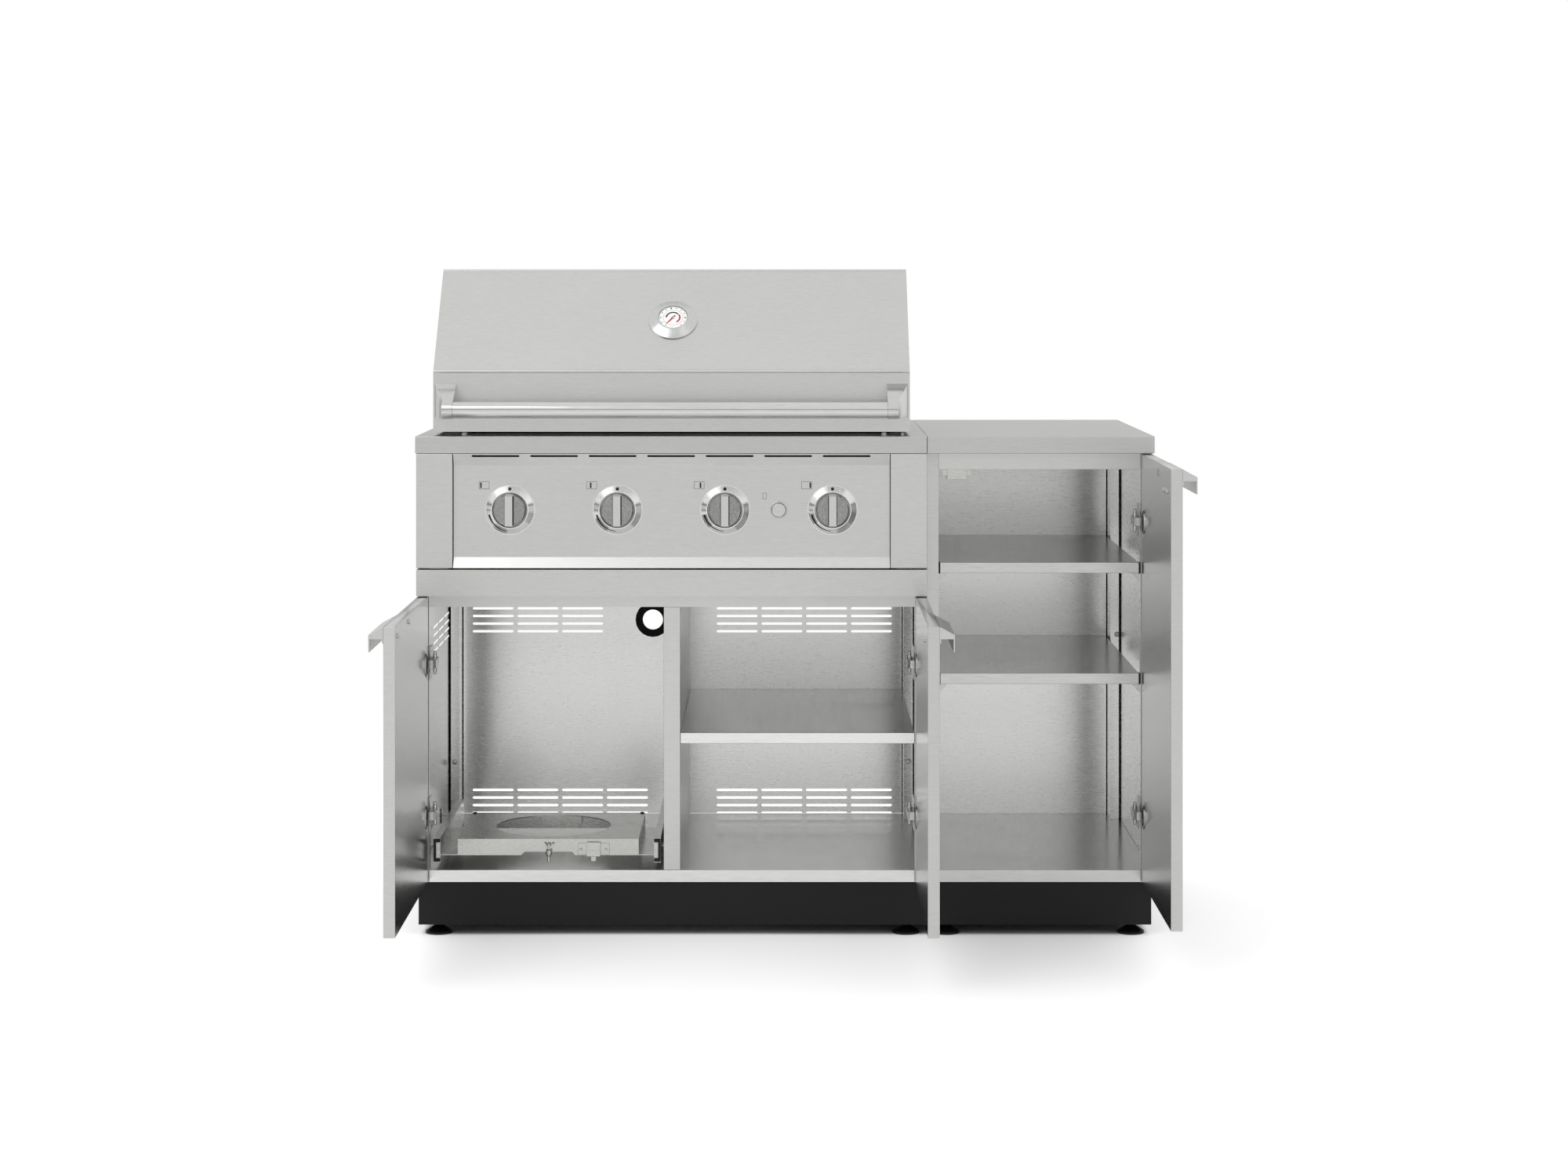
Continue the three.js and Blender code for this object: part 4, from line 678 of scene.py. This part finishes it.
# The burner plan is a frame with a bar where this knob's burner lies; a smaller frame
# stands above the igniter, beside the third knob.
plan_place, plan_half = (-47.2, 44.9), (9.5, 6.95)
plan = frame_line(tree, across, up, plan_place, plan_half, print_line)
first_bar, bar_pitch = -53.1, 4.2
bar_place = worked_out(tree, "MULTIPLY", dial["Number"], bar_pitch)
bar_place = worked_out(tree, "ADD", bar_place, first_bar)
bar = all_of(tree, within(tree, across, bar_place, 1.5), within(tree, up, plan_place[1], 5.0))
mark_place, mark_half, third_knob = (71.9, 25.3), (3.5, 5.5), 2.0
mark = all_of(tree, frame_line(tree, across, up, mark_place, mark_half, print_line),
              within(tree, dial["Number"], third_knob, 0.5))
black = worked_out(tree, "MAXIMUM", worked_out(tree, "MAXIMUM", dot, zigzag),
                   worked_out(tree, "MAXIMUM", arc, bar))
grey = worked_out(tree, "MAXIMUM", plan, mark)

# The bezels are brighter and smoother than the sheet, with fine lathe lines.
bezel = all_of(tree, within(tree, radius, bezel_radius, 7.0), dial["Front"])
tinted(tree, bezel, "DCDCDB")
shader = tree.nodes["Principled BSDF"]
satin = shader.inputs["Roughness"].links[0].from_socket
tree.links.new(worked_out(tree, "SUBTRACT", satin, worked_out(tree, "MULTIPLY", bezel, 0.16)),
               shader.inputs["Roughness"])
lathe_lines = tree.nodes.new("ShaderNodeBump")
lathe_lines.inputs["Strength"].default_value = 0.15
lathe_lines.inputs["Distance"].default_value = 0.0001
turned_rings = worked_out(tree, "SINE", worked_out(tree, "MULTIPLY", radius, ring_radians_per_mm))
tree.links.new(all_of(tree, turned_rings, bezel), lathe_lines.inputs["Height"])
tree.links.new(shader.inputs["Normal"].links[0].from_socket, lathe_lines.inputs["Normal"])
tree.links.new(lathe_lines.outputs["Normal"], shader.inputs["Normal"])
ink_and_shade(tree, Black=all_of(tree, black, dial["Front"]), Grey=all_of(tree, grey, dial["Front"]))
finish_node("control_panel", panel_sheet, 0.0008)


# Burner knobs. Cast metal with a turned skirt and a grip bar across it, polished. The
# skirt is painted dark with upright streaks, painted reflections; the grip is painted
# lighter, a painted highlight; and painted shade lies in the groove on each side of the bar.
polished_trim = steel("polished_trim", "BEBEBD", "D2D2D1",
                      roughness=0.2, spread=0.06, lines=900.0, strokes=60.0, bump=0.03)
# Darker than the other polished trim and streaked upright: painted reflections.
knob_trim_painted_reflections = steel("knob_trim_painted_reflections", "7E7E7D", "A6A6A5",
                  roughness=0.2, spread=0.08, lines=260.0, strokes=900.0, bump=0.06)
tree = knob_trim_painted_reflections.node_tree
dial = placed_group(tree, dial_group).outputs
# The grip bar is painted lighter than the skirt: a painted highlight.
tinted(tree, within(tree, dial["Across"], 0.0, 6.8), "C9C9C8")
# A near black line in the groove on each side of the bar: painted shade.
groove_shade = all_of(tree, within(tree, worked_out(tree, "ABSOLUTE", dial["Across"]), 7.6, 0.8),
                worked_out(tree, "LESS_THAN", dial["Radius"], 27.5))
ink_and_shade(tree, Black=groove_shade)
for number in range(1, 5):
    finish_node(f"knob_{number}", knob_trim_painted_reflections, 0.0009)


# Igniter button. A turned push button with a satin face; it slides in a plain collar
# that is pressed into the control panel, right of the third knob.
finish_node("igniter_button", polished_trim, 0.0008)


# Gas manifold and burners. A manifold pipe carries a valve behind each knob and feeds
# four pressed tube burners; a folded heat shield stands over each tube.
firebox_steel = steel("firebox_steel", "7D7A74", "9C9891",
                      roughness=0.42, spread=0.18, lines=260.0, strokes=30.0, bump=0.25)
for name in ("gas_manifold", "burner_set"):
    finish_node(name, firebox_steel)
for number in range(4):
    x = first_dial + dial_pitch * number
    pressed(f"heat_shield_{number + 1}",
            [(-44, 0), (0, 26), (44, 0), (44, -14), (42.8, -14), (42.8, -0.7), (0, 24.5),
             (-42.8, -0.7), (-42.8, -14), (-44, -14)],
            (x, -24.0, 818), right, above, -474, firebox_steel, "cabinet", 0.0005)


# Firebox and grease tray. A deep welded box hangs in the worktop's cut-out and a
# shallow tray slides in under it from the rear; both have browned with use.
finish_node("firebox", firebox_steel, 0.0008)
finish_node("grease_tray", firebox_steel, 0.0005)


# Cooking grates and warming rack. Two grids of round bar rest on the firebox ledge,
# with a narrow wire rack above them at the rear.
def wire(name, path, radius, material, body, sides):
    bm = bmesh.new()
    points = [Vector(point) for point in path]
    across = (points[1] - points[0]).orthogonal().normalized()
    rings = []
    for n, point in enumerate(points):
        along = (points[min(n + 1, len(points) - 1)] - points[max(n - 1, 0)]).normalized()
        across = (across - along * across.dot(along)).normalized()
        rings.append(ring_of(bm, point, radius, across, along.cross(across), sides))
    for first, second in zip(rings, rings[1:]):
        for k in range(sides):
            m = (k + 1) % sides
            bm.faces.new([first[k], first[m], second[m], second[k]])
    bm.faces.new(rings[0])
    bm.faces.new(rings[-1])
    new_piece(name, bm, material, body)


grate_steel = steel("grate_steel", "6A6864", "8B8883",
                    roughness=0.38, spread=0.16, lines=300.0, strokes=40.0, bump=0.2)
for name in ("cooking_grate_left", "cooking_grate_right"):
    finish_node(name, grate_steel)
for number, y in enumerate((292, 304, 328, 352, 376, 400, 416)):
    wire(f"warming_rack_bar_{number + 1}", [(-600, y, 957), (185.7, y, 957)],
         2.2, grate_steel, "cabinet", 8)
for side, x in (("left", -600.0), ("middle", -207.15), ("right", 185.7)):
    wire(f"warming_rack_leg_{side}",
         [(x, 288, 883.5), (x, 288, 950), (x, 290, 954), (x, 294, 955.5),
          (x, 412, 955.5), (x, 418, 954), (x, 420, 950), (x, 420, 883.5)],
         2.6, grate_steel, "cabinet", 8)


# Worktops. Two folded sheets butt together above the cabinets, brushed along their
# length and painted a shade darker than the fronts, painted shade for the flat tops;
# pale plastic buffers pressed into the left one meet the hood.
# Darker than outer_sheet: painted shade, not a different sheet.
worktop_sheet = steel("worktop_sheet", "B9B9B7", "C5C5C3",
                      roughness=0.33, spread=0.08, lines=1500.0, strokes=60.0, bump=0.03)
for name in ("grill_worktop", "storage_worktop"):
    finish_node(name, worktop_sheet, 0.0015)
pale_plastic = moulded("pale_plastic", "BDBDBB", "CFCFCD",
                       roughness=0.4, pebbles=600.0, bump=0.1, specular=0.5)
for name, x, radius in (("left", -586, 5.0), ("right", 181, 5.0), ("outer", 214.7, 3.0)):
    turned(f"hood_buffer_{name}",
           [(radius, -0.4), (radius, 4.4), (radius - 0.8, 5.8), (radius - 1.8, 6.6), (0, 6.6)],
           (x, -49.3, 914), above, pale_plastic, "cabinet", 20)


# Hood. Bent from one wide sheet with welded end caps, brushed lengthwise; a pressed
# bead stiffens the bend and the top edge is rolled over.
finish_node("hood", outer_sheet, 0.002)
for name, y, z, radius in (("bend_bead", -57.0, 1031.8, 3.4), ("top_roll", 106.8, 1214.9, 3.0)):
    wire(f"hood_{name}", [(-642.0, y, z), (-641.2, y, z), (226.9, y, z), (227.7, y, z)],
         radius, outer_sheet, "hood", 16)


# Hood handle. A drawn and polished tube sits in the collars of two cast posts, which
# are screwed to the hood from inside.
post_trim = steel("post_trim", "BDBDBC", "D0D0CF",
                  roughness=0.15, spread=0.06, lines=1200.0, strokes=200.0, bump=0.03)
finish_node("hood_handle_post_left", post_trim, 0.0008)
finish_node("hood_handle_post_right", post_trim, 0.0008)
tube_trim = steel("tube_trim", "C4C4C3", "D4D4D3",
                  roughness=0.1, spread=0.04, lines=1400.0, strokes=30.0, bump=0.02)
finish_node("hood_handle_tube", tube_trim)


# Thermometer. A turned cup let into the slope of the hood, with a white printed dial,
# dark graduations, a black and red scale and a red pressed pointer.
dial_centre = Vector((-207.15, 24.1, 1122.9))
# The dial faces square out of the hood's slope, and its twelve o'clock is up the slope.
dial_axis, dial_up = Vector((0, -0.75011, 0.66131)), Vector((0, 0.66131, 0.75011))
dial_right = Vector((1, 0, 0))


def scale_print():
    tree = bpy.data.node_groups.new("Scale print", "ShaderNodeTree")
    for name in ("Black", "Red", "Grey", "Lathe lines"):
        group_socket(tree, "OUTPUT", name, "Float")
    outs = tree.nodes.new("NodeGroupOutput").inputs
    spot = vector_worked_out(tree, "SUBTRACT", object_place(tree), in_metres(dial_centre))
    across, up = (vector_worked_out(tree, "DOT_PRODUCT", spot, way * 1000)
                  for way in (dial_right, dial_up))
    radius = length_of(tree, across, up)
    # Degrees run anticlockwise from three o'clock, and the bottom has no graduations.
    tick_every, long_tick_every = 25.0, 100.0
    tick_radius, arc_radius, line_radius = 23.0, 12.5, 18.2
    turn = worked_out(tree, "DEGREES", worked_out(tree, "ARCTAN2", up, across))
    step = worked_out(tree, "PINGPONG", turn, tick_every / 2)
    tick = all_of(tree, worked_out(tree, "LESS_THAN", step, 1.8),
                  within(tree, radius, tick_radius, 1.3))
    long_step = worked_out(tree, "PINGPONG", turn, long_tick_every / 2)
    long_tick = all_of(tree, worked_out(tree, "LESS_THAN", long_step, 2.6),
                       within(tree, radius, tick_radius - 0.6, 2.2))
    bare_bottom = within(tree, turn, -90.0, 32.0)
    marks = worked_out(tree, "MULTIPLY", worked_out(tree, "MAXIMUM", tick, long_tick),
                       worked_out(tree, "SUBTRACT", 1.0, bare_bottom))
    black_arc = all_of(tree, within(tree, radius, arc_radius, 1.5),
                       within(tree, turn, 110.0, 68.0))
    red_arc = all_of(tree, within(tree, radius, arc_radius, 1.6), within(tree, turn, -12.0, 48.0))
    tree.links.new(worked_out(tree, "MAXIMUM", marks, black_arc), outs["Black"])
    tree.links.new(red_arc, outs["Red"])
    tree.links.new(within(tree, radius, line_radius, 0.35), outs["Grey"])
    turned_rings = worked_out(tree, "MULTIPLY", radius, ring_radians_per_mm)
    tree.links.new(worked_out(tree, "SINE", turned_rings), outs["Lathe lines"])
    return tree


scale_group = scale_print()
cup_trim = polished_trim.copy()
cup_trim.name = "cup_trim"
tree = cup_trim.node_tree
bump_into(tree, tree.nodes["Principled BSDF"],
          placed_group(tree, scale_group).outputs["Lathe lines"], 0.15, 0.0001)
finish_node("thermometer", cup_trim)

dial_white, tree, shader = fresh_material("dial_white")
marks = placed_group(tree, scale_group).outputs
paper = noise(tree, object_place(tree), 160.0)
paper = colour_between(tree, paper, srgb("EDEDEB"), srgb("F6F6F5"))
for mask, ink in (("Grey", "9A9A9A"), ("Red", "B02020"), ("Black", "151515")):
    paper = colour_between(tree, marks[mask], paper, srgb(ink))
tree.links.new(paper, shader.inputs["Base Color"])
shader.inputs["Roughness"].default_value = 0.35
turned("dial_face", [(26.6, 4.8), (26.6, 8.6), (0, 8.6)],
       dial_centre, dial_axis, dial_white, "hood", 64)
turned("dial_rim",
       [(26.8, 6.4), (26.8, 9.6), (26.4, 10.0), (25.9, 9.6), (25.9, 6.4), (26.8, 6.4)],
       dial_centre, dial_axis, plated, "hood", 64)

pointer_red, tree, shader = fresh_material("pointer_red")
paint = noise(tree, object_place(tree), 300.0)
tree.links.new(colour_between(tree, paint, srgb("B5161A"), srgb("C82226")),
               shader.inputs["Base Color"])
shader.inputs["Roughness"].default_value = 0.4
# Cold, the pointer rests by the first graduation, at the lower left.
aim = dial_right * -0.62 + dial_up * -0.785
beside = aim.cross(dial_axis)
pressed("dial_pointer", [(-6, -0.9), (-6, 0.9), (0, 1.5), (19.5, 0.35), (19.5, -0.35), (0, -1.5)],
        dial_centre + dial_axis * 10.0, aim, beside, 0.5, pointer_red, "hood")
turned("dial_hub", [(2.4, 8.4), (2.4, 10.5), (1.6, 11.1), (0, 11.1)],
       dial_centre, dial_axis, plated, "hood", 24)


# Gas bottle tray. A pressed plated platform with a hole for the bottle's foot ring, a
# latch and thumb screw at its front and a bracket under the hole's rear rim.
finish_node("tank_tray", plated, 0.0005)
thumb_screw = (-434, -21.5, 129)
turned("tray_screw_stem", [(2.6, 0), (2.6, 33)],
       thumb_screw, above, plated, "tank_tray", 16)
turned("tray_screw_ball", [(2.4, 9.5), (5.2, 12), (6.2, 16.5), (5.2, 21), (2.4, 23.5)],
       thumb_screw, above, plated, "tank_tray", 24)
pressed("tray_screw_plate", [(-9, 0), (9, 0), (9, 14), (5, 18), (-5, 18), (-9, 14)],
        (-434, -14.2, 145), right, above, -7, plated, "tank_tray", 0.0004)
pressed("tray_screw_wing", [(-8, 29), (-9.5, 33.5), (-6, 33.5), (-1.6, 27), (1.6, 27), (6, 33.5),
                            (9.5, 33.5), (8, 29), (2.6, 23), (-2.6, 23)],
        (-434, -20.7, 129), right, above, 1.6, plated, "tank_tray", 0.0005)
for name, left_x, right_x, low_z, high_z, proud in (
    ("base", -381, -323, 140, 162, 3.0),
    ("block", -365, -339, 138, 164, 8.0),
    ("tongue", -357, -347, 129, 140, 6.0),
):
    pressed(f"tray_latch_{name}",
            [(left_x, low_z), (right_x, low_z), (right_x, high_z), (left_x, high_z)],
            (0, -14.2 - proud, 0), right, above, -proud, plated, "tank_tray", 0.001)
for number, x in enumerate((-375, -329)):
    pan_head(f"tray_latch_screw_{number + 1}", (x, -17.1, 151), front, 2.6, plated, "tank_tray")
pressed("tray_bracket", [(0, 0), (78, 0), (78, -17), (76, -19), (2, -19), (0, -17)],
        (-469, 235.7, 168), right, above, -22, plated, "tank_tray", 0.0005)
for number, x in enumerate((-597, -275)):
    pan_head(f"tray_screw_rear_{number + 1}", (x, 245.7, 169.4), above, 4.0,
             foot_plastic, "tank_tray")


# Drawer slides. Folded plated channels screwed to the cabinet, with a ball cage that
# shows at the front end and black end stops.
for side, x, inward in (("left", -637.8, 1), ("right", -233.7, -1)):
    finish_node(f"tray_slide_{side}", plated, 0.0005)
    slide_end = (x, -39.1, 131)
    pressed(f"slide_stop_{side}",
            [(-6, 2), (6, 2), (6, 8), (-1.5, 8), (-1.5, 37), (6, 37), (6, 43), (-6, 43)],
            slide_end, (inward, 0, 0), above, 2.6 * inward, foot_plastic, "cabinet", 0.0005)
    pressed(f"slide_cage_{side}", [(-0.5, 9.5), (5.2, 9.5), (5.2, 35.5), (-0.5, 35.5)],
            slide_end, (inward, 0, 0), above, 1.6 * inward, plated, "cabinet", 0.0004)


# Doors. Each is a double skin folded over at the edges; the inner skin keeps a smooth
# finish and carries small plated buffers, and the storage door the catch's plate.
door_sheet = lined_sheet("door_sheet", grill_centre, "B4B4B3", "C6C6C5", roughness=0.19,
                         spread=0.06, lines=700.0, strokes=30.0)
for name in ("grill_door_left", "grill_door_right", "storage_door"):
    finish_node(name, door_sheet, 0.0015)
for name, body, x, facing, y, z, radius in (
    ("left_buffer_outer", "grill_door_left", -651.35, right, -491.3, 602, 4.5),
    ("left_buffer_inner", "grill_door_left", -651.35, right, -341.3, 608, 4.5),
    ("right_buffer", "grill_door_right", 238.55, left, -424.3, 587, 4.5),
    ("storage_buffer_outer", "storage_door", 651.35, left, -416.3, 839, 4.0),
    ("storage_buffer_inner", "storage_door", 651.35, left, -374.3, 839, 4.0),
):
    turned(f"door_{name}", [(radius, -0.4), (radius, 1.6), (radius - 0.8, 2.6), (0, 2.9)],
           (x, y, z), facing, plated, body, 20)
pressed("catch_plate", [(-16, -7), (16, -7), (16, 7), (-16, 7)],
        (650.4, -305.3, 864), front, above, -1.2, plated, "storage_door", 0.0006)


# Pulls. Bent from outer sheet with a returned lip for the fingers, and held by the
# folded edge of each door.
for name in ("grill_pull_left", "grill_pull_right", "storage_pull"):
    finish_node(name, outer_sheet, 0.0008)


# Hinges. Concealed cup hinges, die-cast and plated: an arm on the cabinet side, a cup
# in the door, and a barrel pin above and below the arm.
for door, inward in (("grill_hinge_left", 1), ("grill_hinge_right", -1), ("storage_hinge", -1)):
    for place in ("upper", "lower"):
        hinge = f"{door}_{place}"
        finish_node(hinge, plated, 0.0004)
        low, high = (corner * 1000 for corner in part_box(hinge))
        middle = (low + high) / 2
        pivot = (middle.x + 2 * inward, high.y - 26, middle.z)
        for end, away in (("top", 1), ("bottom", -1)):
            turned(f"{hinge}_barrel_{end}",
                   [(3.6, 6), (3.6, 15), (2.8, 15.6), (2.8, 20), (1.8, 21), (0, 21)],
                   pivot, (0, 0, away), plated, "cabinet", 16)


# Studio. A pale seamless floor and plain soft light from the left, with the camera
# level in front of the island and its lens shifted down to frame it.
def seen_and_mirrored(tree, plain, seen, mirrored):
    rays = tree.nodes.new("ShaderNodeLightPath").outputs
    extra = worked_out(tree, "ADD", worked_out(tree, "MULTIPLY", rays["Is Camera Ray"], seen),
                       worked_out(tree, "MULTIPLY", rays["Is Glossy Ray"], mirrored))
    return worked_out(tree, "ADD", extra, plain)


bm = bmesh.new()
bmesh.ops.create_circle(bm, cap_ends=True, segments=96, radius=9.0)
floor_mesh = bpy.data.meshes.new("studio_floor")
bm.to_mesh(floor_mesh)
bm.free()
studio_floor = bpy.data.objects.new("studio_floor", floor_mesh)
bpy.context.scene.collection.objects.link(studio_floor)
floor_material, tree, shader = fresh_material("studio_floor")
floor_mesh.materials.append(floor_material)
# Under the plinths the floor is shut off from the light: its glow stops there and its
# colour darkens, so that the shadow of the island stays.
open_to_light = tree.nodes.new("ShaderNodeAmbientOcclusion")
open_to_light.inputs["Distance"].default_value = 0.3
openness = spread_out(tree, open_to_light.outputs["AO"], 0.15, 0.45)
matt = tree.nodes.new("ShaderNodeBsdfDiffuse")
tree.links.new(spread_out(tree, openness, 0.0, 1.0, 0.4, 0.9), matt.inputs["Color"])
glow = tree.nodes.new("ShaderNodeEmission")
tree.links.new(worked_out(tree, "MULTIPLY", openness, seen_and_mirrored(tree, 0.0, 0.27, 0.08)),
               glow.inputs["Strength"])
near = tree.nodes.new("ShaderNodeAddShader")
tree.links.new(matt.outputs[0], near.inputs[0])
tree.links.new(glow.outputs[0], near.inputs[1])
# Far from the island the floor runs into an even white.
white_from, white_at = 1.6, 4.5
far = tree.nodes.new("ShaderNodeEmission")
tree.links.new(seen_and_mirrored(tree, 0.85, 0.15, 0.12), far.inputs["Strength"])
blend = tree.nodes.new("ShaderNodeMixShader")
away = vector_worked_out(tree, "LENGTH", object_place(tree))
tree.links.new(spread_out(tree, away, white_from, white_at), blend.inputs[0])
tree.links.new(near.outputs[0], blend.inputs[1])
tree.links.new(far.outputs[0], blend.inputs[2])
tree.links.new(blend.outputs[0], tree.nodes["Material Output"].inputs["Surface"])
tree.nodes.remove(shader)

world = bpy.data.worlds.new("studio")
bpy.context.scene.world = world
world.use_nodes = True
tree = world.node_tree
height = tree.nodes.new("ShaderNodeSeparateXYZ")
tree.links.new(tree.nodes.new("ShaderNodeTexCoord").outputs["Generated"], height.inputs[0])
camera_ray = tree.nodes.new("ShaderNodeLightPath").outputs["Is Camera Ray"]
sky = tree.nodes.new("ShaderNodeValToRGB")
tree.links.new(height.outputs["Z"], sky.inputs[0])
stops = sky.color_ramp.elements
# Bright overhead and low down, with a dark gap between the walls and the overhead light.
for place, level in ((0.0, 0.95), (0.1, 0.95), (0.13, 0.2), (0.2, 0.2), (0.25, 1.0), (1.0, 1.0)):
    stop = stops.new(place) if 0 < place < 1 else stops[-int(place)]
    stop.color = (level, level, level, 1)
tree.links.new(worked_out(tree, "MAXIMUM", camera_ray, sky.outputs["Color"]),
               tree.nodes["Background"].inputs["Strength"])
tree.nodes["Background"].inputs["Color"].default_value = (1, 1, 1, 1)

island_middle = Vector((0.0, 0.0, 0.5))
for name, place, size, power in (("key", (-2.6, -3.4, 4.2), 4.0, 60.0),
                                 ("fill", (3.0, -4.0, 2.2), 3.5, 14.0)):
    lamp = bpy.data.lights.new(name, "AREA")
    lamp.shape = "DISK"
    lamp.size = size
    lamp.energy = power
    holder = bpy.data.objects.new(name, lamp)
    holder.location = place
    holder.rotation_euler = (island_middle - Vector(place)).to_track_quat("-Z", "Y").to_euler()
    bpy.context.scene.collection.objects.link(holder)

# The camera's place and lens are fitted to the outlines of the island.
lens = bpy.data.cameras.new("camera")
lens.sensor_width = 36.0
lens.lens = 68.35
lens.shift_y = -0.2025
lens.clip_end = 60.0
camera = bpy.data.objects.new("camera", lens)
camera.location = (-0.0017, -5.4943, 1.2157)
camera.rotation_euler = (math.radians(90), 0, 0)
bpy.context.scene.collection.objects.link(camera)
bpy.context.scene.camera = camera
bpy.context.scene.view_settings.view_transform = "Standard"
